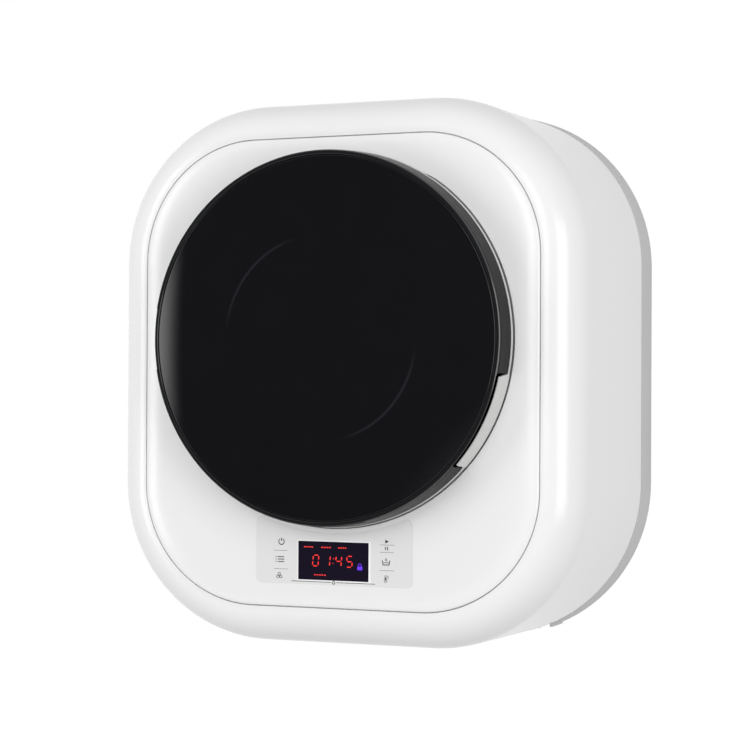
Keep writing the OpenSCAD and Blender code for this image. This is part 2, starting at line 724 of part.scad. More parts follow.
// Ball bearing with its shield grooves
module bearing(r_out, r_in, z, w) {
    mid = (r_out + r_in) / 2;
    ring_w = (r_out - r_in) * 0.18;
    on_drum() translate([0, 0, z]) rotate_extrude() polygon([
        [r_in, 0], [mid - ring_w, 0], [mid - ring_w, 0.6], [mid + ring_w, 0.6], [mid + ring_w, 0],
        [r_out, 0], [r_out, w], [mid + ring_w, w], [mid + ring_w, w - 0.6], [mid - ring_w, w - 0.6],
        [mid - ring_w, w], [r_in, w]
    ]);
}
module rear_bearing() {
    color("silver") as_hung()
        bearing(rear_bearing_r, shaft_rear_r + press, rear_bearing_z, rear_bearing_w);
}
module front_bearing() {
    color("silver") as_hung()
        bearing(front_bearing_r, shaft_front_r + press, front_bearing_z, front_bearing_w);
}

// Rubber lip seal in front of the bearings
module shaft_seal() {
    color("black") as_hung() on_drum() translate([0, 0, seal_z]) rotate_extrude() polygon([
        [shaft_front_r + fit, 2.5], [shaft_front_r + 3, 0], [front_bearing_r - 1, 0],
        [front_bearing_r, 1], [front_bearing_r, seal_w], [front_bearing_r - 3, seal_w],
        [front_bearing_r - 3, 3], [shaft_front_r + 2, 3.5]
    ]);
}

// Heater: rubber plug, terminals and a bent rod in the bottom of the tub
module heater() {
    rod_r = 3.5;
    half = 22;
    far = drum_front_z - 60;
    color("silver") as_hung() on_drum() {
        heater_slot(0);
        for (s = [-1, 1]) translate([s * half, -heater_ring_r, 0]) {
            ring(rod_r, 0, tub_back + 2, far);
            translate([0, 0, tub_back - 10]) ring(2, 0, 0, 7);
        }
        translate([0, -heater_ring_r, far]) rotate([90, 0, 0])
            rotate_extrude(angle = 180) translate([half, 0]) circle(r = rod_r, $fn = 24);
    }
}

// Temperature sensor through the tub's back wall
module temperature_sensor() {
    color("dimgray") as_hung() on_drum() rotate(probe_angle) translate([heater_ring_r, 0, 0]) {
        ring(4, 0, tub_back - 0.5, tub_back + 26);
        ring(6.5, 0, tub_back - 6, tub_back);
    }
}

// Pressure switch on the back wall
switch_x = -half_w - 14;
switch_z = back_z + wall_t;
module pressure_switch() {
    color("black") as_hung() translate([switch_x, drum_up, switch_z]) {
        ring(18, 0, 0, 18);
        ring(22, 0, 6, 10);
        translate([0, -14, 13]) rotate([90, 0, 0]) cylinder(r = 3, h = 10);
    }
}

// Thin tube from the tub's air trap up to the pressure switch
module pressure_tube() {
    dir = [cos(trap_angle), sin(trap_angle), 0];
    trap = [0, drum_up, trap_z] + dir * (tub_out_r + fit);
    color("black") as_hung() hose([
        [switch_x, drum_up - 24.3, switch_z + 13], [switch_x, drum_up - 60, switch_z + 13],
        trap + dir * 16, trap
    ], 2.8, 0, 8);
}

// Dispenser housing behind the panel, with its inlet below and its outlet into the tub
cup_z = tub_front_z + 5.3;
module dispenser_housing() {
    z0 = tub_front_z + 3;
    depth = floor_z - wall_t - fit - z0;
    color("whitesmoke") as_hung() on_drum() translate([0, cup_y, z0]) difference() {
        union() {
            translate([-cup_w / 2 - 4, -cup_h / 2 - 3, 0]) cube([cup_w + 8, cup_h + 6, depth]);
            ring(6, 0, -3 - tub_t, 1);
            translate([8, -cup_h / 2 - 2, 9]) rotate([90, 0, 0]) cylinder(r = 5, h = 13);
        }
        translate([-cup_w / 2 - 1.2, -cup_h / 2 - 1.2, 2]) cube([cup_w + 2.4, cup_h + 2.4, depth]);
        ring(4, 0, -10, 3);
        translate([8, -cup_h / 2, 9]) rotate([90, 0, 0]) cylinder(r = 3, h = 40);
    }
}

// Lift-out detergent cup with two chambers and a rim on the recess floor
module detergent_cup() {
    depth = floor_z - cup_z;
    color("lightskyblue") as_hung() on_drum() translate([0, cup_y, cup_z]) difference() {
        union() {
            translate([-cup_w / 2, -cup_h / 2, 0]) cube([cup_w, cup_h, depth + 1]);
            translate([-cup_w / 2 - 4, -cup_h / 2 - 4, depth]) cube([cup_w + 8, cup_h + 8, 2]);
        }
        for (x = [-cup_w / 2 + 1.5, 1]) translate([x, -cup_h / 2 + 1.5, 1.5])
            cube([cup_w / 2 - 2.5, cup_h - 3, depth + 4]);
    }
}

// Inlet valve: threaded spigot, body and coil
module inlet_valve() {
    thread_r = inlet_r;
    top_y = tray_y + wall_t;
    color("white") as_hung() translate([inlet_x, 0, spigot_z]) difference() {
        union() {
            translate([0, top_y + 22, 0]) rotate([90, 0, 0])
                cylinder(r = thread_r - neck_step, h = top_y + 22 - spigot_end_y - 1, $fn = 64);
            translate([0, spigot_from_y, 0]) rotate([90, 0, 0])
                cylinder(r = thread_r, h = spigot_from_y - spigot_end_y, $fn = 64);
            translate([-17, top_y + fit, -13]) cube([34, 24, 26]);
            translate([-12, top_y + 24, -12]) cube([24, 26, 24]);
            translate([-30, top_y + 12, 0]) rotate([0, 90, 0]) cylinder(r = 5, h = 14);
        }
        translate([0, top_y + 12, 0]) rotate([90, 0, 0]) cylinder(r = thread_r - 3.5, h = 80);
        translate([-40, top_y + 12, 0]) rotate([0, 90, 0]) cylinder(r = 3, h = 40);
    }
}

// Hose from the inlet valve under the tub to the dispenser
module inlet_hose() {
    y0 = tray_y + wall_t + 12;
    low = -half_h - 12;
    z1 = tub_front_z + 12;
    y1 = drum_up + cup_y - cup_h / 2 - 3.5;
    color("white") as_hung() hose([
        [inlet_x - 18, y0, spigot_z], [inlet_x - 44, y0, spigot_z], [8, low, spigot_z + 40],
        [8, low, z1 - 30], [8, low + 16, z1], [8, y1 - 14, z1], [8, y1, z1]
    ], 7, 5.3);
}

// Hose from the tub's sump to the pump
module sump_hose() {
    top = drum_up - sump_low - 6.5;
    color("dimgray") as_hung() hose([
        [sump_x, top, sump_z], [sump_x, top - 16, sump_z], [sump_x, -pump_down, sump_z + 24],
        [pump_x, -pump_down, sump_z + 48],
        [pump_x, -pump_down, pump_z + 34]
    ], 12, 9.5);
}
pump_z = sump_z - 14;

// Drain pump: chamber, motor can and inlet and outlet nozzles
module pump_housing() {
    color("dimgray") as_hung() translate([pump_x, -pump_down, pump_z]) difference() {
        union() {
            ring(pump_r, 0, 0, 22);
            ring(9.2, 0, 21, 40);
            ring(pump_r - 5, 0, -36, 1);
            translate([0, pump_r - 10, 11]) rotate([0, 90, 0]) cylinder(r = 7.5, h = pump_r + 14);
            intersection() {
                translate([-pump_foot_w / 2, -pump_r - 60, -36]) cube([pump_foot_w, 66, 56]);
                translate([-pump_x, pump_down, -pump_z])
                    panel_plate(flank_o(pump_z + 20) - wall_t - fit, pump_z - 37, pump_z + 21);
            }
        }
        ring(pump_r - 3, 0, 3, 19);
        ring(6.8, 0, 18, 41);
        ring(2 + slip, 0, -30, 4);
        translate([4, pump_r - 10, 11]) rotate([0, 90, 0]) cylinder(r = 5.5, h = pump_r + 14);
    }
}

// Impeller with four vanes on its pin
module pump_impeller() {
    color("white") as_hung() translate([pump_x, -pump_down, pump_z]) {
        ring(2, 0, -28, 5);
        ring(16, 0, 4.5, 6.5);
        ring(5, 0, 6, 16);
        for (a = [0 : 90 : 270]) rotate(a) translate([3, -1, 6]) cube([13, 2, 9]);
    }
}

// Drain hose with its loop beside the tub, above the water level
module drain_hose() {
    y0 = -pump_down + pump_r - 10;
    x_side = half_w + 17;
    z_up = pump_z + 11;
    z_down = z_up - 38;
    color("dimgray") as_hung() hose([
        [pump_x + pump_r + 6, y0, z_up], [x_side - 44, y0, z_up], [x_side - 4, y0 + 80, z_up],
        [x_side, drum_up - 20, z_up], [x_side, drum_up - 20, z_down], [x_side - 4, y0 + 76, z_down],
        [x_side - 46, y0 + 4, z_down - 8], [drain_x, tray_y + wall_t + 34, spigot_z],
        [drain_x, tray_y + wall_t + 4, spigot_z]
    ], 10, 7.8);
}

// Drain spigot through the connection tray
module drain_spigot() {
    top = tray_y + wall_t;
    color("dimgray") as_hung() translate([drain_x, 0, spigot_z]) difference() {
        union() {
            translate([0, top + 3, 0]) rotate([90, 0, 0])
                cylinder(r = drain_r - neck_step, h = top + 3 - spigot_end_y - 1);
            translate([0, spigot_from_y, 0]) rotate([90, 0, 0])
                cylinder(r = drain_r, h = spigot_from_y - spigot_end_y);
            translate([0, top + 3.6, 0]) rotate([90, 0, 0]) cylinder(r = drain_r + 5, h = 3.3);
            translate([0, top + 14, 0]) rotate([90, 0, 0]) cylinder(r = 7.4, h = 14);
        }
        translate([0, top + 30, 0]) rotate([90, 0, 0]) cylinder(r = 5.4, h = 120);
    }
}

// Door lock behind the panel: sealed case with the hook's slot and the strike edge
module door_lock() {
    color("dimgray") as_hung() on_drum() difference() {
        translate([hook_x - 20, -38, lock_top - 22]) cube([40, 76, 22]);
        translate([hook_x - 9, -hook_w / 2 - 3, lock_top - 20]) cube([21, hook_w + 6, 30]);
        translate([hook_x - 15, -hook_w / 2 - 3, lock_top - 20]) cube([21, hook_w + 6, 20 - strike_t]);
        for (t = [-1, 1]) translate([hook_x + 1, t * 30, 0]) ring(5.5, 0, lock_top - 6.3, lock_top + 1);
    }
}

// Fixed hinge bracket on the panel's recess floor
module hinge_bracket() {
    color("silver") as_hung() on_drum() translate([-hinge_out, 0, 0]) difference() {
        union() {
            translate([0, arm_half, hinge_z]) rotate([90, 0, 0]) cylinder(r = knuckle_r, h = 2 * arm_half, $fn = 48);
            translate([-2, -arm_half, floor_z]) cube([4, 2 * arm_half, hinge_up + recess_deep]);
            translate([-2, -arm_half - 8, floor_z]) cube([38, 2 * arm_half + 16, 3]);
        }
        translate([0, 50, hinge_z]) rotate([90, 0, 0]) cylinder(r = hinge_pin_r + slip, h = 100, $fn = 48);
        for (t = [-1, 1]) translate([26, t * 16, 0]) ring(2.2, 0, floor_z - 1, floor_z + 4);
    }
}

// Motor case with cooling slots and end covers
module motor_case() {
    color("gray") as_hung() translate([motor_at[0], motor_at[1], motor_z]) difference() {
        union() {
            ring(motor_r, 0, 0, motor_len);
            for (a = [0 : 30 : 330]) rotate(a) translate([motor_r - 4, -2, 14]) cube([6, 4, motor_len - 28]);
        }
        ring(rotor_r + air_gap, 0, 8, motor_len - 8);
        ring(motor_shaft_r + press, 0, -1, motor_len - 4);
        for (a = [15 : 30 : 345]) rotate(a) translate([rotor_r - 12, -2, -1]) cube([9, 4, 10]);
        for (p = motor_screw_spots) translate(p) ring(2 + slip, 0, -1, 6);
    }
}
motor_screw_spots = [for (a = [60, 180, 300]) [(motor_r - 6) * cos(a), (motor_r - 6) * sin(a)]];

// Steel bracket that carries the motor on the tub's back wall
bracket_spots = [motor_at + [-22, 118], motor_at + [46, 84]];
module motor_bracket() {
    color("silver") as_hung() difference() {
        translate([0, 0, motor_z - bracket_t]) linear_extrude(bracket_t) hull() {
            translate(motor_at) circle(r = motor_r - 1);
            for (p = bracket_spots) translate(p) circle(r = 12);
        }
        translate(motor_at) ring(motor_shaft_r + 8, 0, 0, 100);
        for (p = motor_screw_spots) translate(motor_at + p) ring(2 + slip, 0, 0, 100);
        for (p = bracket_spots) translate(p) ring(2 + slip, 0, 0, 100);
    }
}

// Screws of the motor bracket: three into the motor, two into the tub
module bracket_screws() {
    color("silver") as_hung() {
        for (p = motor_screw_spots) translate(motor_at + p)
            rear_screw(3.6, 2, 1.6, motor_z - bracket_t, motor_z + 5);
        for (p = bracket_spots) translate(p) rear_screw(3.6, 2, 1.6, motor_z - bracket_t, tub_back + 1);
    }
}

// Closed belt round the drum pulley and the motor pulley
module drive_belt() {
    gap = 0.35;
    color("black") as_hung() translate([0, 0, belt_z - belt_w / 2]) linear_extrude(belt_w) difference() {
        hull() {
            translate(drum_centre) circle(r = pulley_r + gap + belt_t, $fn = 128);
            translate(motor_at) circle(r = motor_pulley_r + gap + belt_t);
        }
        hull() {
            translate(drum_centre) circle(r = pulley_r + gap, $fn = 128);
            translate(motor_at) circle(r = motor_pulley_r + gap);
        }
    }
}

// Perforated drum shell with two rolled beads
module drum_shell() {
    bead = 1.6;
    z_a = drum_back + 22;
    z_b = drum_front_z - 26;
    color("silver") as_hung() on_drum() difference() {
        rotate_extrude($fn = 128) polygon([
            [drum_r, drum_back], [drum_r, z_a - 4], [drum_r - bead, z_a], [drum_r, z_a + 4],
            [drum_r, z_b - 4], [drum_r - bead, z_b], [drum_r, z_b + 4], [drum_r, drum_front_z - 6],
            [drum_r - drum_t, drum_front_z - 6], [drum_r - drum_t, z_b + 4.2],
            [drum_r - bead - drum_t, z_b], [drum_r - drum_t, z_b - 4.2], [drum_r - drum_t, z_a + 4.2],
            [drum_r - bead - drum_t, z_a], [drum_r - drum_t, z_a - 4.2], [drum_r - drum_t, drum_back]
        ]);
        for (i = [0 : drain_rows - 1], j = [0 : drain_columns - 1])
            translate([0, 0, z_a + 9 + i * (z_b - z_a - 18) / max(1, drain_rows - 1)])
                rotate((j + 0.5 * (i % 2)) * 360 / drain_columns + 3) translate([drum_r - 4, 0, 0])
                    rotate([0, 90, 0]) cylinder(r = drain_hole_r, h = 8, $fn = 16);
    }
}

// Pressed front ring of the drum with a rolled mouth
module drum_front_ring() {
    t = 1.2;
    color("silver") as_hung() on_drum() rotate_extrude($fn = 128) polygon([
        [drum_r - drum_t - fit, drum_front_z - 16], [drum_r - drum_t - fit, drum_front_z - 5],
        [drum_r - 6, drum_front_z], [drum_mouth_r + 14, drum_front_z], [drum_mouth_r + 3, drum_front_z - 4],
        [drum_mouth_r, drum_front_z - 10], [drum_mouth_r + t, drum_front_z - 10],
        [drum_mouth_r + 4, drum_front_z - 5.2], [drum_mouth_r + 14.5, drum_front_z - t],
        [drum_r - 6.6, drum_front_z - t], [drum_r - drum_t - fit - t, drum_front_z - 5.4],
        [drum_r - drum_t - fit - t, drum_front_z - 16]
    ]);
}

// Pressed back of the drum with a raised star
module drum_back_disc() {
    t = 1.2;
    rim = drum_r - drum_t - fit;
    color("silver") as_hung() on_drum() difference() {
        rotate_extrude($fn = 128) polygon([
            [0, drum_back], [60, drum_back], [70, drum_back + 5], [rim - 24, drum_back + 5],
            [rim - 16, drum_back], [rim, drum_back], [rim, drum_back + 12], [rim - t, drum_back + 12],
            [rim - t, drum_back + t], [rim - 15.6, drum_back + t], [rim - 23.6, drum_back + 5 + t],
            [69.6, drum_back + 5 + t], [59.6, drum_back + t], [0, drum_back + t]
        ]);
        for (a = [0 : 15 : 345], r = [95, 130, 160]) rotate(a + r / 4) translate([r, 0, 0])
            ring(2.5, 0, drum_back, drum_back + 12);
    }
}

// Three lifters on the drum wall
module drum_lifters() {
    base = sqrt(pow(drum_r - drum_t - 1.9, 2) - pow(20, 2));
    z0 = drum_back + 14;
    z1 = drum_front_z - 18;
    color("whitesmoke") as_hung() on_drum() for (a = [90, 210, 330]) rotate(a)
        translate([0, 0, z0]) linear_extrude(z1 - z0) polygon([
            [base, -20], [base, 20], [base - lifter_h * 0.35, 13], [base - lifter_h * 0.85, 7],
            [base - lifter_h, 3], [base - lifter_h, -3], [base - lifter_h * 0.85, -7],
            [base - lifter_h * 0.35, -13]
        ]);
}

// Cast spider behind the drum: hub and three ribbed arms
module drum_spider() {
    color("gray") as_hung() on_drum() difference() {
        union() {
            ring(24, 0, spider_z, drum_back - 0.2);
            for (a = [90, 210, 330]) rotate(a) {
                translate([0, 0, drum_back - 4.2]) linear_extrude(4) polygon([
                    [10, -20], [drum_r - 10, -9], [drum_r - 10, 9], [10, 20]
                ]);
                translate([10, -3, drum_back - 9]) cube([drum_r - 22, 6, 6]);
            }
        }
        ring(shaft_front_r + press, 0, spider_z - 1, drum_back + 1);
    }
}

// Drum shaft with its shoulder and pulley bolt
module drum_shaft() {
    color("silver") as_hung() on_drum() {
        ring(shaft_front_r, 0, front_bearing_z - 1, drum_back - 0.4);
        ring(shaft_rear_r, 0, shaft_from, front_bearing_z);
        translate([0, 0, shaft_from - 3.4]) cylinder(r = 8, h = 4, $fn = 6);
    }
}

// Drum pulley: hub, six spokes and a grooved rim
module drum_pulley() {
    half = belt_w / 2 + 2;
    color("gray") as_hung() on_drum() {
        rotate_extrude($fn = 128) polygon([
            [pulley_r - 10, belt_z - half], [pulley_r + 1.6, belt_z - half], [pulley_r + 1.6, belt_z - half + 1],
            [pulley_r, belt_z - half + 1.8], [pulley_r, belt_z + half - 1.8],
            [pulley_r + 1.6, belt_z + half - 1], [pulley_r + 1.6, belt_z + half],
            [pulley_r - 4, belt_z + half], [pulley_r - 5, belt_z - half + 4], [pulley_r - 10, belt_z - half + 4]
        ]);
        ring(17, shaft_rear_r + press, shaft_from + 0.6, hub_from - 2);
        for (a = [0 : 60 : 300]) rotate(a) translate([16, -6, belt_z - half]) cube([pulley_r - 24, 12, 4]);
    }
}

// Motor rotor on its shaft
module motor_rotor() {
    color("silver") as_hung() translate([motor_at[0], motor_at[1], 0]) {
        ring(motor_shaft_r, 0, belt_z - 12, motor_z + motor_len - 5);
        ring(rotor_r, 0, motor_z + 12, motor_z + motor_len - 12);
    }
}

// Grooved motor pulley
module motor_pulley() {
    half = belt_w / 2 + 2;
    color("silver") as_hung() translate([motor_at[0], motor_at[1], belt_z]) rotate_extrude() polygon([
        [motor_shaft_r + press, -half], [motor_pulley_r + 2.5, -half], [motor_pulley_r + 2.5, -half + 1.5],
        [motor_pulley_r, -half + 1.8], [motor_pulley_r, half - 1.8], [motor_pulley_r + 2.5, half - 1.5],
        [motor_pulley_r + 2.5, half], [motor_shaft_r + press, half]
    ]);
}

// Space that the hinge arm needs in the door, from z0 up
module hinge_pocket(z0) {
    on_drum() translate([-door_r - 5, -hinge_half - 4, z0])
        cube([door_r + 5 - hinge_out + knuckle_r + 0.6, 2 * hinge_half + 8, hinge_z + knuckle_r + 0.8 - z0]);
}

// Turns a profile of [radius, distance from the wall] through the handle's angle
module handle_sector(profile, slack = 0) {
    on_drum() rotate(-handle_to - slack)
        rotate_extrude(angle = handle_to - handle_from + 2 * slack, $fn = 180) polygon(profile);
}

// Dark door ring: tapered wall, glass seat, thin rim and the finger pocket of the handle
module door_ring() {
    rim_r = door_r - ring_draft;
    seat_r = glass_r + glass_groove;
    notch_r = ring_foot_r - 0.6;
    pocket_top = glass_seat_z - 2 * fit;
    wall = [
        [ring_in_r, ring_z], [ring_foot_r, ring_z], [ring_foot_r, groove_z + 1],
        [ring_wall_r, groove_z + 1], [rim_r + 0.4, rim_z - 2], [rim_r - 0.4, rim_z - 1],
        [seat_r, rim_z - 1], [seat_r, glass_seat_z - fit], [glass_r - 5, glass_seat_z - fit],
        [glass_r - 5, glass_seat_z - 2.5], [glass_r - 1.5, glass_seat_z - 4], [ring_in_r, groove_z + 3]
    ];
    pocket = [
        [pocket_r - pocket_t, pocket_floor_z - 2], [ring_in_r + 0.5, pocket_floor_z - 2],
        [ring_in_r + 0.5, glass_seat_z - 3], [glass_r - 4, pocket_top], [pocket_r - pocket_t, pocket_top]
    ];
    space = [
        [pocket_r + 3, pocket_floor_z], [notch_r, pocket_floor_z], [notch_r, ring_z - 1],
        [door_r + 5, ring_z - 1], [door_r + 5, rim_z - 2.5], [rim_r - 0.4, rim_z - 2.5],
        [seat_r + 0.8, glass_seat_z - 1.6], [pocket_r + 3, glass_seat_z - 1.6],
        [pocket_r, glass_seat_z - 5], [pocket_r, pocket_floor_z + 3]
    ];
    color("#2b2b2d") as_hung() difference() {
        union() {
            on_drum() rotate_extrude($fn = 180) polygon(wall);
            handle_sector(pocket, 0.7);
        }
        hinge_pocket(ring_z - 1);
        handle_sector(space);
    }
}

// Domed dark door glass
module door_glass() {
    arc = [for (i = [0 : steps]) let (t = i / steps)
        [glass_r * t, rim_z - 2 + glass_rise * (1 - t * t)]];
    back = [for (i = [steps : -1 : 0]) let (t = i / steps)
        [(glass_r - 0.8) * t, rim_z - 2 - glass_t + glass_rise * (1 - t * t)]];
    color("#17171a") as_hung() on_drum() rotate_extrude($fn = 180) polygon(concat(arc, back));
}

// Inner frame of the door with the hinge pocket and the hook's slot
module door_inner_frame() {
    profile = [
        [bowl_r + 0.6, frame_z], [frame_r, frame_z], [frame_r, frame_z + 3],
        [bowl_r + bowl_flange_w + 14, frame_z + frame_t], [bowl_r + bowl_flange_w + 14, frame_z + 12],
        [bowl_r + bowl_flange_w + 11, frame_z + 12], [bowl_r + bowl_flange_w + 11, frame_z + frame_t],
        [bowl_r + 0.6, frame_z + frame_t]
    ];
    color("gainsboro") as_hung() difference() {
        on_drum() rotate_extrude($fn = 128) polygon(profile);
        hinge_pocket(ring_z - 1);
        handle_sector([
            [pocket_r - pocket_t - 2, frame_z - 1], [frame_r + 1, frame_z - 1],
            [frame_r + 1, rim_z], [pocket_r - pocket_t - 2, rim_z]
        ], 1.5);
        on_drum() translate([hook_x - 12, -hook_w / 2 - 1, frame_z - 1]) cube([20, hook_w + 2, frame_t + 2]);
    }
}

// Tapered glass bowl that reaches into the drum
module glass_bowl() {
    z0 = bowl_flange_z;
    t = bowl_glass_t;
    end_z = z0 - bowl_d + 11;
    color("lightgray") as_hung() on_drum() rotate_extrude($fn = 128) polygon([
        [bowl_r + bowl_flange_w, z0], [bowl_r, z0], [bowl_end_r, end_z], [bowl_end_r - 5, end_z - 7],
        [bowl_end_r - 14, end_z - 10], [0, end_z - 11], [0, end_z - 11 + t],
        [bowl_end_r - 15, end_z - 10 + t], [bowl_end_r - 8, end_z - 7 + t], [bowl_end_r - t, end_z + t],
        [bowl_r - t, z0 + t], [bowl_r + bowl_flange_w, z0 + t]
    ]);
}

// Ring that clamps the bowl on the inner frame
module bowl_clamp_ring() {
    z0 = bowl_flange_z + bowl_glass_t + fit;
    color("gainsboro") as_hung() on_drum() rotate_extrude($fn = 128) polygon([
        [bowl_r - 2, z0], [bowl_r + bowl_flange_w + 10.5, z0], [bowl_r + bowl_flange_w + 10.5, z0 + 2.5],
        [bowl_r, z0 + 2.5]
    ]);
}

// Light grey base ring of the door with the handle's lip, drawn up from it as one moulding
module handle_insert() {
    foot = ring_foot_r + fit;
    grip_r = ring_wall_r - (grip_top_z - groove_z) * 0.07;
    grip = [
        [foot + 0.3, groove_z - 1], [door_r - 0.2, groove_z - 1], [door_r - 0.3, groove_z + 0.5],
        [grip_r + 0.3, grip_top_z - 1.2],
        [grip_r - 0.3, grip_top_z - 0.3], [grip_r - 1, grip_top_z], [grip_r + 0.4 - grip_t, grip_top_z - 0.4],
        [grip_r - grip_t, grip_top_z - 1.4], [foot + 0.3, groove_z + 3]
    ];
    color("lightgray") as_hung() difference() {
        union() {
            on_drum() rotate_extrude($fn = 180) translate([foot, ring_z]) square([door_r - foot, flange_t]);
            handle_sector(grip, -handle_slack);
        }
        hinge_pocket(ring_z - 1);
    }
}

// Moving hinge leaf screwed to the inner frame
module hinge_leaf() {
    plate_z = frame_z + frame_t + fit;
    color("silver") as_hung() on_drum() translate([-hinge_out, 0, 0]) difference() {
        union() {
            for (s = [-1, 1]) {
                y0 = s > 0 ? arm_half + 0.5 : -hinge_half;
                translate([0, y0, hinge_z]) rotate([-90, 0, 0])
                    cylinder(r = knuckle_r, h = hinge_half - arm_half - 0.5, $fn = 48);
                translate([0, y0, hinge_z - 1.5]) cube([14, hinge_half - arm_half - 0.5, 3]);
            }
            translate([11, -hinge_half, plate_z]) cube([3, 2 * hinge_half, hinge_z + 1.5 - plate_z]);
            translate([11, -hinge_half, plate_z]) cube([28, 2 * hinge_half, 2.5]);
        }
        translate([0, 50, hinge_z]) rotate([90, 0, 0]) cylinder(r = hinge_pin_r + press, h = 100, $fn = 48);
    }
}

// Steel hinge pin
module hinge_pin() {
    color("silver") as_hung() on_drum() translate([-hinge_out, hinge_half, hinge_z])
        rotate([90, 0, 0]) cylinder(r = hinge_pin_r, h = 2 * hinge_half, $fn = 48);
}

// Sprung latch hook, shown off its strike
module latch_hook() {
    top_z = lock_top - strike_t - hook_rise;
    tip_z = top_z - 5.5;
    color("silver") as_hung() on_drum() translate([hook_x, 0, 0]) difference() {
        union() {
            translate([0, hook_w / 2, hook_z]) rotate([90, 0, 0]) cylinder(r = 5, h = hook_w, $fn = 48);
            translate([-2.5, -hook_w / 2, tip_z]) cube([5, hook_w, hook_z - tip_z]);
            translate([0, hook_w / 2, 0]) rotate([90, 0, 0]) linear_extrude(hook_w)
                polygon([[0, tip_z], [-2.5, tip_z], [-6.5, tip_z + 3], [-6.5, top_z], [0, top_z]]);
        }
        translate([0, 50, hook_z]) rotate([90, 0, 0]) cylinder(r = hook_pin_r + slip, h = 100, $fn = 48);
    }
}

// Pin of the latch hook between two lugs
module latch_pin() {
    color("silver") as_hung() on_drum() translate([hook_x, 0, hook_z]) {
        rotate([90, 0, 0]) cylinder(r = hook_pin_r, h = hook_w + 30, center = true, $fn = 32);
        for (s = [-1, 1]) translate([-4, s * (hook_w / 2 + 2.4) - 1.5, frame_z + frame_t - hook_z + fit])
            cube([8, 3, hook_z - frame_z - frame_t + 2]);
    }
}

// Coil spring beside the hook
module latch_spring() {
    wire = 0.6;
    turns = 4;
    per_turn = 12;
    coil_r = hook_pin_r + wire + fit;
    pitch = 1.6;
    n = turns * per_turn;
    points = [for (i = [0 : n]) let (a = 360 * i / per_turn) for (k = [0 : 5])
        [(coil_r + wire * cos(60 * k)) * cos(a), pitch * i / per_turn + wire * sin(60 * k),
         (coil_r + wire * cos(60 * k)) * sin(a)]];
    sides = [for (i = [0 : n - 1], k = [0 : 5]) let (a = i * 6 + k, b = i * 6 + (k + 1) % 6)
        each [[a, b, a + 6], [b, b + 6, a + 6]]];
    caps = [[5, 4, 3, 2, 1, 0], [for (k = [0 : 5]) n * 6 + k]];
    color("silver") as_hung() on_drum()
        translate([hook_x, hook_w / 2 + 5.6, hook_z]) polyhedron(points, concat(sides, caps));
}

rear_cabinet();
front_housing();
front_panel();
control_overlay();
display_window();
control_board();
motor_controller();
wall_cushions();
mount_washers();
casing_screws();
tub_rear();
tub_front();
tub_seal_ring();
tub_screws();
tub_bolts();
door_gasket();
gasket_clamp();
rear_bearing();
front_bearing();
shaft_seal();
heater();
temperature_sensor();
pressure_switch();
pressure_tube();
dispenser_housing();
detergent_cup();
inlet_valve();
inlet_hose();
sump_hose();
pump_housing();
drain_hose();
drain_spigot();
door_lock();
hinge_bracket();
motor_case();
motor_bracket();
bracket_screws();
drive_belt();
drum_shell();
drum_front_ring();
drum_back_disc();
drum_lifters();
drum_spider();
drum_shaft();
drum_pulley();
motor_rotor();
motor_pulley();
pump_impeller();
door_ring();
door_glass();
door_inner_frame();
glass_bowl();
bowl_clamp_ring();
handle_insert();
hinge_leaf();
hinge_pin();
latch_hook();
latch_pin();
latch_spring();
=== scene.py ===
import json
import math

import bmesh
import bpy
from mathutils import Matrix, Vector

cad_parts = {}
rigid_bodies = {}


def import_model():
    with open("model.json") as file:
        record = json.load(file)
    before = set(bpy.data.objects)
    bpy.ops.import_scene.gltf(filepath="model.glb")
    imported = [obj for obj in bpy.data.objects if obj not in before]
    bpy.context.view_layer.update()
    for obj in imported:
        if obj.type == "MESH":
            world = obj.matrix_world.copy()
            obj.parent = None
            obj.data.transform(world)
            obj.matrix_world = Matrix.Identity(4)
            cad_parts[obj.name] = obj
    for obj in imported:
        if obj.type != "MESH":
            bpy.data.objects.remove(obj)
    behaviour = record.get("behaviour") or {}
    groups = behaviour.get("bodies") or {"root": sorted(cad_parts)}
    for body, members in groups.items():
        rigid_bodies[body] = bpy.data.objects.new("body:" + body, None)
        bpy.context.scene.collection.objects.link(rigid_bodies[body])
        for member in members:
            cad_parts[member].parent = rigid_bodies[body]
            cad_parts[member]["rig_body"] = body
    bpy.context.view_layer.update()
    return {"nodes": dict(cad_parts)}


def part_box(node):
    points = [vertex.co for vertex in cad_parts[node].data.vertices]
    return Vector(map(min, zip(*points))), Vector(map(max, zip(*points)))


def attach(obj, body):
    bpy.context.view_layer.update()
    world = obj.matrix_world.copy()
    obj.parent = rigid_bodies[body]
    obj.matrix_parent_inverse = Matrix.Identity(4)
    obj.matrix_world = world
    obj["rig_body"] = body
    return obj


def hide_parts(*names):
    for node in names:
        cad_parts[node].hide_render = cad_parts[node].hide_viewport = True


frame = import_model()

# Camera: it stands to the right of the machine's front, almost level with its middle,
# with a long lens. Angles and distance come from the door's and the panel's outlines.
azimuth = math.radians(22.24)
elevation = math.radians(-0.68)
roll = math.radians(0.29)
reach = 2.137
aim = Vector((0.0, -0.276, 0.0))
shift_right = 0.0418
shift_up = -0.0031
lens_mm = 96.8
sensor_mm = 36.0

back = Vector((
    math.sin(azimuth) * math.cos(elevation),
    -math.cos(azimuth) * math.cos(elevation),
    math.sin(elevation),
))
level_right = Vector((math.cos(azimuth), math.sin(azimuth), 0.0))
level_up = back.cross(level_right)
right = level_right * math.cos(roll) + level_up * math.sin(roll)
up = level_up * math.cos(roll) - level_right * math.sin(roll)
eye = aim + back * reach + right * shift_right + up * shift_up


def linked(name, data):
    """A new object in the scene."""
    made = bpy.data.objects.new(name, data)
    bpy.context.scene.collection.objects.link(made)
    return made


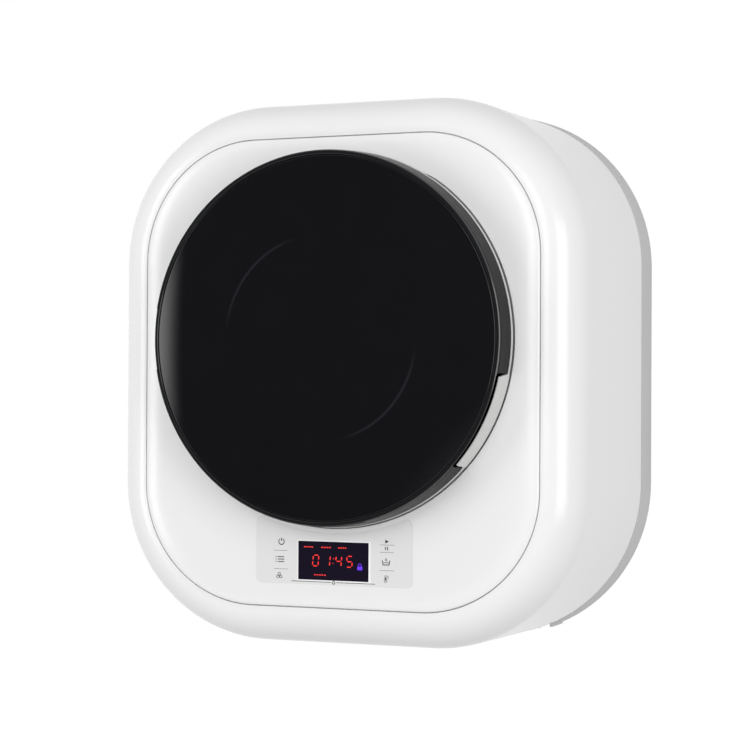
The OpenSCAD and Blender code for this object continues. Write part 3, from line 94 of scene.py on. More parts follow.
camera = linked("camera", bpy.data.cameras.new("camera"))
camera.data.lens = lens_mm
camera.data.sensor_width = sensor_mm
camera.matrix_world = Matrix.Translation(eye) @ Matrix((right, up, back)).transposed().to_4x4()
bpy.context.scene.camera = camera
bpy.context.scene.view_settings.view_transform = "Standard"


# Studio: a white room gives most of the light, and three softboxes the highlights.
# The paper behind and below is white only for the camera, gloss and glass.
def add_node(tree, kind, sockets=None, **settings):
    """Adds one node; a socket takes a value or another node's output."""
    made = tree.nodes.new(kind)
    for name, value in settings.items():
        setattr(made, name, value)
    for name, value in (sockets or {}).items():
        if isinstance(value, bpy.types.NodeSocket):
            tree.links.new(value, made.inputs[name])
        else:
            made.inputs[name].default_value = value
    return made


def colour(hex_code):
    """An sRGB hex colour as linear RGBA."""
    parts = [int(hex_code[i:i + 2], 16) / 255 for i in (1, 3, 5)]
    linear = [c / 12.92 if c <= 0.04045 else ((c + 0.055) / 1.055) ** 2.4 for c in parts]
    return (*linear, 1.0)


def seen_directly(tree):
    """1 where a camera, glossy or transmission ray looks, and 0 for light on the object."""
    path = add_node(tree, "ShaderNodeLightPath")
    first = add_node(tree, "ShaderNodeMath", {
        0: path.outputs["Is Camera Ray"], 1: path.outputs["Is Glossy Ray"]}, operation="MAXIMUM")
    return add_node(tree, "ShaderNodeMath", {
        0: first.outputs[0], 1: path.outputs["Is Transmission Ray"]}, operation="MAXIMUM").outputs[0]


room_light = 0.475
world = bpy.data.worlds.new("white_studio")
bpy.context.scene.world = world
world.use_nodes = True
world.node_tree.nodes.clear()
room, paper = (add_node(world.node_tree, "ShaderNodeBackground", {
    "Color": colour("#ffffff"), "Strength": strength}) for strength in (room_light, 1.0))
both = add_node(world.node_tree, "ShaderNodeMixShader", {
    0: seen_directly(world.node_tree), 1: room.outputs[0], 2: paper.outputs[0]})
add_node(world.node_tree, "ShaderNodeOutputWorld", {"Surface": both.outputs[0]})


def around_machine(azimuth_deg, distance, height):
    """A place in the studio, seen from the machine; 0 degrees is straight in front."""
    turn = math.radians(azimuth_deg)
    return Vector((math.sin(turn) * distance, -math.cos(turn) * distance, height))


# Each lamp: name, azimuth, distance, height, width, length and power.
for name, lamp_azimuth, distance, height, width, length, power in (
    ("left_softbox", -41.0, 2.4, 0.2, 0.8, 1.6, 12.5),
    ("front_softbox", 0.0, 2.6, 0.5, 1.2, 1.2, 13.0),
    ("right_softbox", 50.0, 2.4, 0.1, 1.1, 1.5, 16.4),
):
    lamp = bpy.data.lights.new(name, "AREA")
    lamp.shape = "RECTANGLE"
    lamp.size = width
    lamp.size_y = length
    lamp.energy = power
    holder = linked(name, lamp)
    holder.location = around_machine(lamp_azimuth, distance, height)
    holder.rotation_euler = (aim - holder.location).to_track_quat("-Z", "Y").to_euler()


def blank_material(name):
    """A new material with nothing in its node tree; gives both."""
    made = bpy.data.materials.new(name)
    made.use_nodes = True
    made.node_tree.nodes.clear()
    return made, made.node_tree


def studio_sheet(name, corners):
    """A flat sheet of the studio, which is no part of the machine; gives it and its finish's node tree."""
    mesh = bpy.data.meshes.new(name)
    mesh.from_pydata(corners, [], [(0, 1, 2, 3)])
    sheet = linked(name, mesh)
    finish, tree = blank_material(name + " finish")
    mesh.materials.append(finish)
    return sheet, tree


# The machine hangs on a wall, so the floor lies well below it.
floor_z, floor_side, floor_end = -2.4, 9.0, 12.0
floor_tree = studio_sheet("floor", [
    (-floor_side, -floor_side, floor_z), (floor_side, -floor_side, floor_z),
    (floor_side, floor_end, floor_z), (-floor_side, floor_end, floor_z)])[1]
floor_matt = add_node(floor_tree, "ShaderNodeBsdfDiffuse", {"Color": colour("#f8f8f8")})
floor_white = add_node(floor_tree, "ShaderNodeEmission", {"Color": colour("#ffffff"), "Strength": 1.0})
floor_both = add_node(floor_tree, "ShaderNodeMixShader", {
    0: seen_directly(floor_tree), 1: floor_matt.outputs[0], 2: floor_white.outputs[0]})
add_node(floor_tree, "ShaderNodeOutputMaterial", {"Surface": floor_both.outputs[0]})

# A black card with faded edges stands where the dark glass mirrors the room. It is seen
# in reflections alone, so it takes no light from the machine.
card_azimuth, card_distance = -19.5, 1.9
card_left, card_right, card_foot, card_top = -0.66, 0.75, -0.75, 1.0
card_middle = around_machine(card_azimuth, card_distance, 0.0)
card_side = Vector((math.cos(math.radians(card_azimuth)), math.sin(math.radians(card_azimuth)), 0.0))
card_corners = (card_left, card_foot), (card_right, card_foot), (card_right, card_top), (card_left, card_top)
card, card_tree = studio_sheet("black_card", [
    tuple(card_middle + card_side * across + Vector((0, 0, height))) for across, height in card_corners])
for ray in ("camera", "diffuse", "transmission", "shadow"):
    setattr(card, "visible_" + ray, False)
card_place = add_node(card_tree, "ShaderNodeTexCoord")
card_turn = add_node(card_tree, "ShaderNodeMapping", {
    "Vector": card_place.outputs["Object"], "Location": -card_middle})
clear_share = 0.0
# Each faded edge: direction over the card, where the fade starts and where it is clear.
for direction, fade_from, fade_to in (
    (-card_side, 0.52, -card_left),
    (card_side, 0.66, card_right),
    (Vector((0, 0, 1)), 0.88, card_top),
    ((card_side * 0.72 + Vector((0, 0, -0.69))).normalized(), 0.45, 0.85),
):
    along = add_node(card_tree, "ShaderNodeVectorMath", {
        0: card_turn.outputs[0], 1: tuple(direction)}, operation="DOT_PRODUCT")
    fade = add_node(card_tree, "ShaderNodeMapRange", {
        "Value": along.outputs["Value"], "From Min": fade_from, "From Max": fade_to},
        interpolation_type="SMOOTHERSTEP")
    clear_share = add_node(card_tree, "ShaderNodeMath", {
        0: clear_share, 1: fade.outputs[0]}, operation="MAXIMUM").outputs[0]
card_black = add_node(card_tree, "ShaderNodeEmission", {"Color": colour("#000000"), "Strength": 0.0})
card_clear = add_node(card_tree, "ShaderNodeBsdfTransparent")
card_both = add_node(card_tree, "ShaderNodeMixShader", {
    0: clear_share, 1: card_black.outputs[0], 2: card_clear.outputs[0]})
add_node(card_tree, "ShaderNodeOutputMaterial", {"Surface": card_both.outputs[0]})


# Rear cabinet: a moulded tray of light grey ABS that carries the wall bolts.
# It is matt, from a spark-eroded mould, and is screwed to the white housing.
def shade(hex_code, share=1.0, lift=0.0):
    """A colour made darker or lighter."""
    return tuple(min(c * share + lift, 1.0) for c in colour(hex_code)[:3]) + (1.0,)


def surface(name, tones, patches, grain, gloss, relief, stretch=(1.0, 1.0, 1.0), **shine):
    """A material of two mottled tones, with one grain in its gloss and its relief.

    Patches and grain are noises of (scale, detail, roughness), gloss runs from the grain's
    low to its high spots, and relief is (strength, distance).
    """
    made, tree = blank_material(name)
    place = add_node(tree, "ShaderNodeTexCoord").outputs["Object"]
    drawn = add_node(tree, "ShaderNodeMapping", {"Vector": place, "Scale": stretch}).outputs[0]
    mottle, marks = (add_node(tree, "ShaderNodeTexNoise", {
        "Vector": vector, "Scale": scale, "Detail": detail, "Roughness": roughness}).outputs[0]
        for vector, (scale, detail, roughness) in ((place, patches), (drawn, grain)))
    mix = add_node(tree, "ShaderNodeMix", {0: mottle, 6: tones[0], 7: tones[1]}, data_type="RGBA")
    rough = add_node(tree, "ShaderNodeMapRange", {"Value": marks, "To Min": gloss[0], "To Max": gloss[1]})
    bumps = add_node(tree, "ShaderNodeBump", {"Height": marks, "Strength": relief[0], "Distance": relief[1]})
    body = add_node(tree, "ShaderNodeBsdfPrincipled", {
        "Base Color": mix.outputs[2], "Roughness": rough.outputs[0], "Normal": bumps.outputs[0]})
    for label, value in shine.items():
        body.inputs[label.replace("_", " ")].default_value = value
    add_node(tree, "ShaderNodeOutputMaterial", {"Surface": body.outputs[0]})
    return made


def moulded_plastic(name, hex_code, roughness, grain_mm, grain_depth_mm, mottle=0.03, shine=0.5):
    """Injection moulded plastic: faint mottle, and the mould's grain in roughness and relief."""
    return surface(
        name, (shade(hex_code, 1 - mottle), shade(hex_code, 1 + mottle)), (14.0, 4.0, 0.55),
        (1000.0 / grain_mm, 2.0, 0.5), (roughness * 0.88, roughness * 1.12), (0.35, grain_depth_mm / 1000.0),
        IOR=1.53, Specular_IOR_Level=shine)


def smooth_by_angle(shape, limit_deg):
    """Smooth shading that stays crisp over edges steeper than the limit."""
    for face in shape.faces:
        face.smooth = True
    for edge in shape.edges:
        edge.smooth = len(edge.link_faces) == 2 and edge.calc_face_angle(0.0) < math.radians(limit_deg)


def applied(made):
    """Turns an object's modifiers into its plain mesh."""
    bpy.context.view_layer.update()
    evaluated = made.evaluated_get(bpy.context.evaluated_depsgraph_get())
    made.data = bpy.data.meshes.new_from_object(evaluated)
    made.modifiers.clear()


# Points closer than this are one, and faces that turn by less than this are flat.
weld_m, flat_deg = 2e-6, 0.4


def refined(node, material, edge_mm=0.0, smooth_deg=32.0, reshape=None):
    """A merged, smooth-shaded copy of a CAD solid that stands for it, with worn mould edges."""
    source = frame["nodes"][node]
    mesh = source.data.copy()
    mesh.materials.clear()
    shape = bmesh.new()
    shape.from_mesh(mesh)
    bmesh.ops.remove_doubles(shape, verts=shape.verts, dist=weld_m)
    bmesh.ops.dissolve_limit(shape, angle_limit=math.radians(flat_deg), verts=shape.verts, edges=shape.edges)
    if reshape:
        reshape(shape)
    smooth_by_angle(shape, smooth_deg)
    shape.to_mesh(mesh)
    shape.free()
    mesh.materials.append(material)
    made = linked(node + "_body", mesh)
    if edge_mm:
        rounding = made.modifiers.new("rounding", "BEVEL")
        rounding.limit_method = "ANGLE"
        rounding.angle_limit = math.radians(smooth_deg)
        rounding.width = edge_mm / 1000.0
        rounding.segments = 2
        rounding.harden_normals = True
        applied(made)
    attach(made, source["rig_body"])
    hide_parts(node)


matt_grey_abs = moulded_plastic("moulded matt grey ABS", "#cbcbcc", 0.55, 0.9, 0.05)
refined("rear_cabinet", matt_grey_abs, edge_mm=0.6)


# Wall cushions, washers and casing screws: black moulded rubber blocks behind each bolt,
# which swallow the light, and pressed washers and screws, whose zinc is a cool, even grey.
def moulded_rubber(name, hex_code, roughness=0.7):
    """Moulded rubber: fine matt bloom, slightly uneven."""
    return surface(name, (shade(hex_code), shade(hex_code, 1.35, 0.004)), (60.0, 6.0, 0.65),
                   (1800.0, 2.0, 0.5), (roughness, roughness), (0.3, 0.00005), IOR=1.52)


def worked_metal(name, hex_code, roughness, mark_mm, stretch=(1.0, 1.0, 1.0), relief_mm=0.01):
    """Metal with the marks of its making: rolled, turned, cast or plated."""
    return surface(name, (shade(hex_code, 0.82), shade(hex_code)), (45.0, 3.0, 0.5),
                   (1000.0 / mark_mm, 5.0, 0.6), (roughness * 0.75, roughness * 1.25),
                   (0.5, relief_mm / 1000.0), stretch, Metallic=1.0)


def from_nodes(name, group, body, **inputs):
    """Runs a Geometry Nodes group with its named inputs and keeps the plain mesh it makes."""
    made = linked(name, bpy.data.meshes.new(name))
    step = made.modifiers.new(name, "NODES")
    step.node_group = group
    for item in group.interface.items_tree:
        if item.in_out == "INPUT" and item.name in inputs:
            step[item.identifier] = inputs[item.name]
    applied(made)
    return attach(made, body)


def node_group(name, **inputs):
    """An empty Geometry Nodes group with named inputs; gives the group and its input sockets."""
    group = bpy.data.node_groups.new(name, "GeometryNodeTree")
    for label, kind in inputs.items():
        group.interface.new_socket(label, in_out="INPUT", socket_type="NodeSocket" + kind)
    group.interface.new_socket("Mesh", in_out="OUTPUT", socket_type="NodeSocketGeometry")
    return group, group.nodes.new("NodeGroupInput").outputs


def screw_maker():
    """Pan head screws with a cross recess, one on each point of a mesh, heads to the rear."""
    group, given = node_group("cross recess screws", Spots="Object", HeadRadius="Float", HeadHeight="Float",
                              ShankRadius="Float", ShankLength="Float", Finish="Material")
    # Each size that follows from an input: its name, that input and its share of it.
    sizes = {}
    for label, whole, share in (
        ("crown height", "HeadHeight", 0.5), ("crown radius", "HeadRadius", 0.82),
        ("slot length", "HeadRadius", 1.1), ("slot width", "HeadRadius", 0.26),
        ("slot lift", "HeadHeight", 1.1), ("shank drop", "ShankLength", -0.5),
    ):
        sizes[label] = add_node(group, "ShaderNodeMath", {
            0: given[whole], 1: share}, operation="MULTIPLY").outputs[0]
    head, crown = (add_node(group, "GeometryNodeMeshCone", {
        "Vertices": 40, "Radius Top": top, "Radius Bottom": given["HeadRadius"], "Depth": depth})
        for top, depth in ((given["HeadRadius"], given["HeadHeight"]),
                           (sizes["crown radius"], sizes["crown height"])))
    shank = add_node(group, "GeometryNodeMeshCylinder", {
        "Vertices": 24, "Radius": given["ShankRadius"], "Depth": given["ShankLength"]})
    shifts = [(crown, given["HeadHeight"]), (shank, sizes["shank drop"])]
    for across, up_down in (("slot length", "slot width"), ("slot width", "slot length")):
        size = add_node(group, "ShaderNodeCombineXYZ", {
            "X": sizes[across], "Y": sizes[up_down], "Z": given["HeadHeight"]})
        bar = add_node(group, "GeometryNodeMeshCube", {"Size": size.outputs[0]})
        shifts.append((bar, sizes["slot lift"]))
    shifted = []
    for part, height in shifts:
        along = add_node(group, "ShaderNodeCombineXYZ", {"Z": height})
        shifted.append(add_node(group, "GeometryNodeTransform", {
            "Geometry": part.outputs["Mesh"], "Translation": along.outputs[0]}).outputs[0])
    raised_crown, lowered_shank, *slots = shifted
    whole_head = add_node(group, "GeometryNodeMeshBoolean", operation="UNION", solver="EXACT")
    recessed = add_node(group, "GeometryNodeMeshBoolean", {"Mesh 1": whole_head.outputs["Mesh"]},
                        operation="DIFFERENCE", solver="EXACT")
    screw = add_node(group, "GeometryNodeJoinGeometry")
    for parts, gathered in (((head.outputs["Mesh"], raised_crown), whole_head.inputs[1]),
                            (slots, recessed.inputs[1]),
                            ((recessed.outputs["Mesh"], lowered_shank), screw.inputs[0])):
        for part in parts:
            group.links.new(part, gathered)
    spots = add_node(group, "GeometryNodeObjectInfo", {"Object": given["Spots"]})
    angle = add_node(group, "FunctionNodeRandomValue", {2: 0.0, 3: 1.5, "Seed": 4}, data_type="FLOAT")
    to_rear = add_node(group, "ShaderNodeCombineXYZ", {"X": -math.pi / 2, "Y": angle.outputs[1]})
    placed_screws = add_node(group, "GeometryNodeInstanceOnPoints", {
        "Points": spots.outputs["Geometry"], "Instance": screw.outputs[0], "Rotation": to_rear.outputs[0]})
    real = add_node(group, "GeometryNodeRealizeInstances", {"Geometry": placed_screws.outputs[0]})
    dressed = add_node(group, "GeometryNodeSetMaterial", {
        "Geometry": real.outputs[0], "Material": given["Finish"]})
    add_node(group, "NodeGroupOutput", {"Mesh": dressed.outputs[0]})
    return group


screws = screw_maker()


def cross_screws(node, head_radius_mm, head_height_mm, shank_radius_mm):
    """Stands recessed screws in for a CAD node of plain ones, each at its own loose part."""
    source = frame["nodes"][node]
    shape = bmesh.new()
    shape.from_mesh(source.data)
    bmesh.ops.remove_doubles(shape, verts=shape.verts, dist=weld_m)
    # The underside of each head lies this far before the rear end of the plain screw.
    head_room = head_height_mm / 1000 * 1.25
    left_over, spots, shank_length = set(shape.verts), [], 0.0
    # The points' own order gives each screw the same turn at every run.
    for first in shape.verts:
        if first not in left_over:
            continue
        left_over.discard(first)
        island, edge_of = set(), [first]
        while edge_of:
            vert = edge_of.pop()
            island.add(vert)
            for edge in vert.link_edges:
                other = edge.other_vert(vert)
                if other in left_over:
                    left_over.discard(other)
                    edge_of.append(other)
        low = [min(v.co[i] for v in island) for i in range(3)]
        high = [max(v.co[i] for v in island) for i in range(3)]
        spots.append(((low[0] + high[0]) / 2, high[1] - head_room, (low[2] + high[2]) / 2))
        shank_length = high[1] - low[1] - head_room
    shape.free()
    mesh = bpy.data.meshes.new(node + " spots")
    mesh.from_pydata(spots, [], [])
    holder = linked(node + " spots", mesh)
    made = from_nodes(node + "_recessed", screws, source["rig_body"], Spots=holder,
                      HeadRadius=head_radius_mm / 1000, HeadHeight=head_height_mm / 1000,
                      ShankRadius=shank_radius_mm / 1000, ShankLength=shank_length, Finish=zinc_plated_steel)
    bpy.data.objects.remove(holder)
    finish = bmesh.new()
    finish.from_mesh(made.data)
    smooth_by_angle(finish, 30)
    finish.to_mesh(made.data)
    finish.free()
    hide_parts(node)


black_rubber = moulded_rubber("moulded black rubber", "#2a2a2b")
zinc_plated_steel = worked_metal("zinc plated steel", "#c9ccd0", 0.32, 0.6)
refined("wall_cushions", black_rubber, edge_mm=0.8)
refined("mount_washers", zinc_plated_steel, edge_mm=0.2)
cross_screws("casing_screws", 3.9, 2.2, 1.9)


# Front housing: one deep moulding of glossy white ABS with a rounded shoulder.
# It is swept round the panel's outline, and its polished mould leaves it shiny.
glossy_white_abs = moulded_plastic("moulded glossy white ABS", "#f2f2f2", 0.2, 6.0, 0.006, mottle=0.006)
half_width, half_height, corner = 0.226, 0.250, 0.129


def skin(shape, loops, round_again=True, closed=True, caps=True):
    """Faces from each loop of points to the next; a run that stops gets caps on closed loops."""
    rings = [[shape.verts.new(point) for point in loop] for loop in loops]
    for here, after in zip(rings, rings[1:] + rings[:1] if round_again else rings[1:]):
        for i in range(len(here) if closed else len(here) - 1):
            j = (i + 1) % len(here)
            shape.faces.new((here[i], here[j], after[j], after[i]))
    if caps and closed and not round_again:
        shape.faces.new(rings[0][::-1])
        shape.faces.new(rings[-1])
    return rings


def around_panel(profile, corner_steps=32):
    """Sweeps a closed profile of (spread beyond the seam, distance from the wall) round the panel."""
    loops = []
    for sx, sz, start in ((1, 1, 0), (-1, 1, 90), (-1, -1, 180), (1, -1, 270)):
        for step in range(corner_steps + 1):
            angle = math.radians(start + 90 * step / corner_steps)
            loops.append([(sx * (half_width - corner) + (corner + spread) * math.cos(angle), -z,
                           sz * (half_height - corner) + (corner + spread) * math.sin(angle))
                          for spread, z in profile])
    shape = bmesh.new()
    skin(shape, loops)
    return shape


def placed(name, shape, material, body, smooth_deg=0.0):
    """Makes an object of a bmesh, with its faces turned outwards, and lets it ride on a body."""
    bmesh.ops.recalc_face_normals(shape, faces=shape.faces)
    if smooth_deg:
        smooth_by_angle(shape, smooth_deg)
    mesh = bpy.data.meshes.new(name)
    shape.to_mesh(mesh)
    shape.free()
    mesh.materials.append(material)
    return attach(linked(name, mesh), body)


seam_z, shoulder_out, shoulder_deep, wall = 0.276, 0.042, 0.046, 0.003
seam_gap, ledge_deep, ledge_in = 0.001, 0.006, -0.014
shoulder_steps, seam_chamfer = 32, 0.0003
outer = []
for step in range(shoulder_steps + 1):
    angle = math.radians(90 * step / shoulder_steps)
    outer.append((seam_gap + (shoulder_out - seam_gap) * math.sin(angle),
                  seam_z - shoulder_deep * (1 - math.cos(angle))))
outer[0] = (seam_gap + seam_chamfer, seam_z)
ledge_back = seam_z - ledge_deep - wall
inner = []
for step in range(shoulder_steps // 2, -1, -1):
    angle = math.radians(180 * step / shoulder_steps)
    inner.append((seam_gap + (shoulder_out - wall - seam_gap) * math.sin(angle),
                  ledge_back - (shoulder_deep - ledge_deep - wall) * (1 - math.cos(angle))))
# The rim flares a little over the cabinet, and the ledge carries the panel in the mouth.
flare_lip = [(0.0463, 0.0495), (0.0465, 0.0485), (0.0462, 0.0482), (0.0435, 0.0482)]
ledge = [(ledge_in, ledge_back), (ledge_in, ledge_back + wall), (seam_gap, ledge_back + wall),
         (seam_gap, seam_z - seam_chamfer)]
housing_shape = around_panel(outer + flare_lip + inner + ledge)
housing = placed("front_housing_shell", housing_shape, glossy_white_abs, "casing", 30.0)
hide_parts("front_housing")

# Front panel: a second white ABS moulding, clipped into the housing's mouth.
# It has a rolled edge, a dished recess behind the door and a lip round the port.
door_axis_z = (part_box("door_glass")[0][2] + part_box("door_glass")[1][2]) / 2


def ease(value, low, high):
    """Rises smoothly from 0 to 1 between two limits."""
    t = min(max((value - low) / (high - low), 0.0), 1.0)
    return t * t * (3 - 2 * t)


# Where the recess meets the panel's face: its band of radii and of distances from the
# wall, how far it is moved out, and the heights over which that fades at the top.
recess_from, recess_to, face_from, face_to = 0.1925, 0.1985, 0.268, 0.280
line_wide, fade_low, fade_high = 0.0060, 0.195, 0.218


def shadow_line(shape):
    """Widens the recess behind the door, so that a dark line shows round the door's foot."""
    for vert in shape.verts:
        radius = math.hypot(vert.co.x, vert.co.z - door_axis_z)
        if recess_from < radius < recess_to and face_from < -vert.co.y < face_to:
            grown = 1 + line_wide / radius * (1 - ease(vert.co.z, fade_low, fade_high))
            vert.co.x *= grown
            vert.co.z = door_axis_z + (vert.co.z - door_axis_z) * grown


refined("front_panel", glossy_white_abs, edge_mm=0.4, reshape=shadow_line)


# Control overlay: a polycarbonate film printed light grey from behind, stuck into a
# shallow pocket. It is duller than the panel, and its symbols stand up a hair, as thick
# ink does.
satin_film = moulded_plastic("satin printed polycarbonate film", "#e4e4e4", 0.38, 1.2, 0.006, 0.01)
edge_roll = 0.00024


def fills_pocket(shape):
    """Spreads the film to the pocket's wall, as its soft edge does when it is rolled on."""
    shape.normal_update()
    moves = []
    for vert in shape.verts:
        sides = [face.normal for face in vert.link_faces if abs(face.normal.y) < 0.5]
        if sides:
            moves.append((vert, sum(sides, Vector()).normalized() * edge_roll))
    for vert, move in moves:
        vert.co += move


refined("control_overlay", satin_film, edge_mm=0.1, reshape=fills_pocket)
film_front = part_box("control_overlay")[0][1]
ink_thick = 0.00006
mm = 0.001


def ink_line(shape, points, width, face_y, closed=False):
    """A printed line through (x, z) points in millimetres, as a thin closed strip."""
    points = [Vector(p) for p in points]
    count = len(points)
    edges = []
    for i, here in enumerate(points):
        before = points[i - 1] if i or closed else here
        after = points[(i + 1) % count] if i + 1 < count or closed else here
        run_in = (here - before).normalized() if here != before else (after - here).normalized()
        run_out = (after - here).normalized() if after != here else run_in
        along = (run_in + run_out).normalized()
        side = Vector((-along.y, along.x))
        reach_out = width / 2 / max(side.dot(Vector((-run_in.y, run_in.x))), 0.4)
        edges.append((here + side * reach_out, here - side * reach_out))
    skin(shape, [[(p.x * mm, face_y + dy, p.y * mm) for p, dy in (
        (a, -ink_thick), (b, -ink_thick), (b, ink_thick), (a, ink_thick))] for a, b in edges], closed)


def ink_fill(shape, outline, face_y):
    """A printed patch inside an outline of (x, z) points in millimetres."""
    skin(shape, [[(x * mm, face_y + dy, z * mm) for x, z in outline]
                 for dy in (-ink_thick, ink_thick)], round_again=False)


def rectangle(x_from, z_from, x_to, z_to):
    """The outline of an upright patch."""
    return [(x_from, z_from), (x_to, z_from), (x_to, z_to), (x_from, z_to)]


def bow(cx, cz, radius, start, end, steps=20):
    """Points of an arc, in degrees."""
    turns = [math.radians(start + (end - start) * i / steps) for i in range(steps + 1)]
    return [(cx + radius * math.cos(turn), cz + radius * math.sin(turn)) for turn in turns]


def printed(name, shape, material):
    """Lets ink ride on the film or window that it is printed on."""
    placed(name, shape, material, "casing")


def screen_ink(name, hex_code, roughness=0.5, glow=0.0):
    """Screen printed ink: flat, slightly uneven in tone, glowing only in a lit display."""
    return surface(name, (shade(hex_code, 0.9), shade(hex_code)), (900.0, 3.0, 0.5), (900.0, 3.0, 0.5),
                   (roughness, roughness), (0.0, 0.001), IOR=1.5, Emission_Color=colour(hex_code),
                   Emission_Strength=glow)


line_w, symbol_scale = 0.95, 1.45
key_print = bmesh.new()


def from_middle(middle, points):
    """Points of a key symbol, enlarged and set about the symbol's middle."""
    return [(middle[0] + x * symbol_scale, middle[1] + z * symbol_scale) for x, z in points]


def key(middle, points, closed=False, width=line_w):
    """One stroke of a key symbol."""
    ink_line(key_print, from_middle(middle, points), width, film_front, closed)


def key_patch(middle, outline):
    """One filled patch of a key symbol."""
    ink_fill(key_print, from_middle(middle, outline), film_front)


# Left keys: on and off, programme list, and load level.
power, listing, load = (-60.2, -181.0), (-62.2, -199.8), (-62.6, -217.4)
key(power, bow(0, 0, 2.2, 125, 415, 28))
key(power, [(0, 0.4), (0, 2.8)])
for row in (1.8, 0.0, -1.8):
    key(listing, [(-1.6, row), (3.6, row)])
    key_patch(listing, bow(-3.0, row, 0.42, 0, 330, 11))
for cx, cz in bow(0, 0, 1.35, 90, 330, 2):
    key(load, bow(cx, cz, 1.0, 0, 345, 23), True, 0.6)
# Right keys: start over pause, extra rinse, and temperature.
start, pause, rinse, warmth = (61.0, -177.4), (60.7, -184.6), (60.2, -198.9), (59.8, -216.4)
key_patch(start, [(-1.2, -1.4), (1.6, 0), (-1.2, 1.4)])
for bar in (-0.8, 0.8):
    key_patch(pause, rectangle(bar - 0.35, -1.2, bar + 0.35, 1.2))
key(rinse, [(-3.0, 1.2), (-2.3, -2.0), (2.3, -2.0), (3.0, 1.2)])
key(rinse, [(-2.1 + 0.35 * i, -0.3 + 0.3 * math.sin(math.radians(90 * i))) for i in range(13)], False, 0.5)
key(rinse, [(0, 2.8), (-0.8, 1.5), (0, 0.9), (0.8, 1.5)], True, 0.5)
key(warmth, bow(0, -1.4, 1.1, 120, 420, 24) + [(0.55, 1.9)] + bow(0, 1.9, 0.55, 0, 180, 8)[1:], True, 0.5)
key(warmth, [(0, -1.4), (0, 1.0)], False, 0.8)
for rung in (0.2, 1.1, 2.0):
    key(warmth, [(1.3, rung), (2.5, rung)], False, 0.4)
# Fine rules between the keys, and the long rule with its drop under the window.
for x0, x1, z in ((-69.3, -53.1, -190.5), (-69.1, -52.3, -210.1), (53.3, 69.5, -181.0),
                  (53.4, 68.8, -188.7), (52.8, 69.7, -207.7)):
    ink_line(key_print, [(x0, z), (x1, z)], 0.35, film_front)
for x0, x1 in ((-48.5, -2.4), (3.8, 47.9)):
    ink_line(key_print, [(x0, -222.4), (x1, -222.4)], 0.6, film_front)
ink_line(key_print, bow(0.7, -222.8, 1.5, 120, 420, 20) + [(0.7, -219.6)], 0.75, film_front, True)
dark_ink = screen_ink("dark grey screen printed ink", "#26282b")
printed("overlay_symbols", key_print, dark_ink)

# Display window: smoked acrylic, printed black behind, a dark pool with sharp mirror
# images. A white rule is printed round it on the overlay. Red seven-part figures and a
# violet lock light up through it.
smoked_acrylic = moulded_plastic("smoked acrylic", "#1c1726", 0.1, 8.0, 0.0005, 0.02)
refined("display_window", smoked_acrylic, edge_mm=0.1)
window_low, window_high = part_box("display_window")
window_front = window_low[1]
x0, x1 = window_low[0] / mm, window_high[0] / mm
z0, z1 = window_low[2] / mm, window_high[2] / mm
rule_w, rule_right_w = 1.1, 2.4
left, right_end, foot, top = x0 - rule_w, x1 + rule_right_w, z0 - rule_w, z1 + rule_w
white_rule = bmesh.new()
for strip in (
    (left, foot, right_end, z0), (left, z1, right_end, top), (left, z0, x0, z1), (x1, z0, right_end, z1),
):
    ink_fill(white_rule, rectangle(*strip), film_front)
printed("window_rule", white_rule, screen_ink("white screen printed ink", "#ffffff"))

figures = bmesh.new()
figure_w, figure_h, bar_w, slant = 6.4, 11.4, 1.15, 0.1
parts_of = {"0": "abcdef", "4": "bcfg", "5": "acdfg", "1": "bc"}


def figure(x, z, value):
    """A slanted seven-part figure with its foot at (x, z)."""
    half = figure_h / 2
    gap = bar_w * 0.18
    spans = {
        "a": (0, figure_h, figure_w, figure_h), "g": (0, half, figure_w, half), "d": (0, 0, figure_w, 0),
        "f": (0, half, 0, figure_h), "b": (figure_w, half, figure_w, figure_h),
        "e": (0, 0, 0, half), "c": (figure_w, 0, figure_w, half),
    }
    for part in parts_of[value]:
        ax, az, bx, bz = spans[part]
        length = math.hypot(bx - ax, bz - az)
        ux, uz = (bx - ax) / length, (bz - az) / length
        t, h = bar_w / 2, bar_w / 2 + gap
        far = length - h
        outline = [(h, 0), (h + t, t), (far - t, t), (far, 0), (far - t, -t), (h + t, -t)]
        bar = [(ax + ux * p - uz * q, az + uz * p + ux * q) for p, q in outline]
        ink_fill(figures, [(x + p + q * slant, z + q) for p, q in bar], window_front)


# A clock with its colon, a row of dashes above it and a row of short ones below.
figure_foot, dash_foot, dot_foot, dash_h, dash_count = -205.6, -186.3, -215.6, 1.2, 4
for x, value in ((-24.0, "0"), (-10.8, "1"), (2.4, "4"), (14.9, "5")):
    figure(x, figure_foot, value)
for z in (-197.2, -202.2):
    ink_fill(figures, bow(-0.6 + (z - figure_foot) * slant, z, 0.55, 0, 330, 11), window_front)
for start, end in ((-34.0, -22.5), (-13.8, -2.0), (5.6, 15.7)):
    pitch = (end - start) / dash_count
    for x in (start + pitch * i for i in range(dash_count)):
        ink_fill(figures, rectangle(x, dash_foot, x + 0.7 * pitch, dash_foot + dash_h), window_front)
for x in (-22.0 + 2.9 * i for i in range(5)):
    ink_fill(figures, rectangle(x, dot_foot, x + 1.8, dot_foot + dash_h), window_front)
printed("display_figures", figures, screen_ink("red display figures", "#e8281e", 0.4, 0.55))
padlock = bmesh.new()
ink_fill(padlock, rectangle(27.6, -208.4, 33.4, -204.6), window_front)
shackle = [(28.8, -204.8), (28.8, -203.4)] + bow(30.5, -203.4, 1.7, 180, 0, 12)[1:] + [(32.2, -204.8)]
ink_line(padlock, shackle, 0.7, window_front)
printed("display_padlock", padlock, screen_ink("violet display lamp", "#6228e0", 0.4, 0.45))

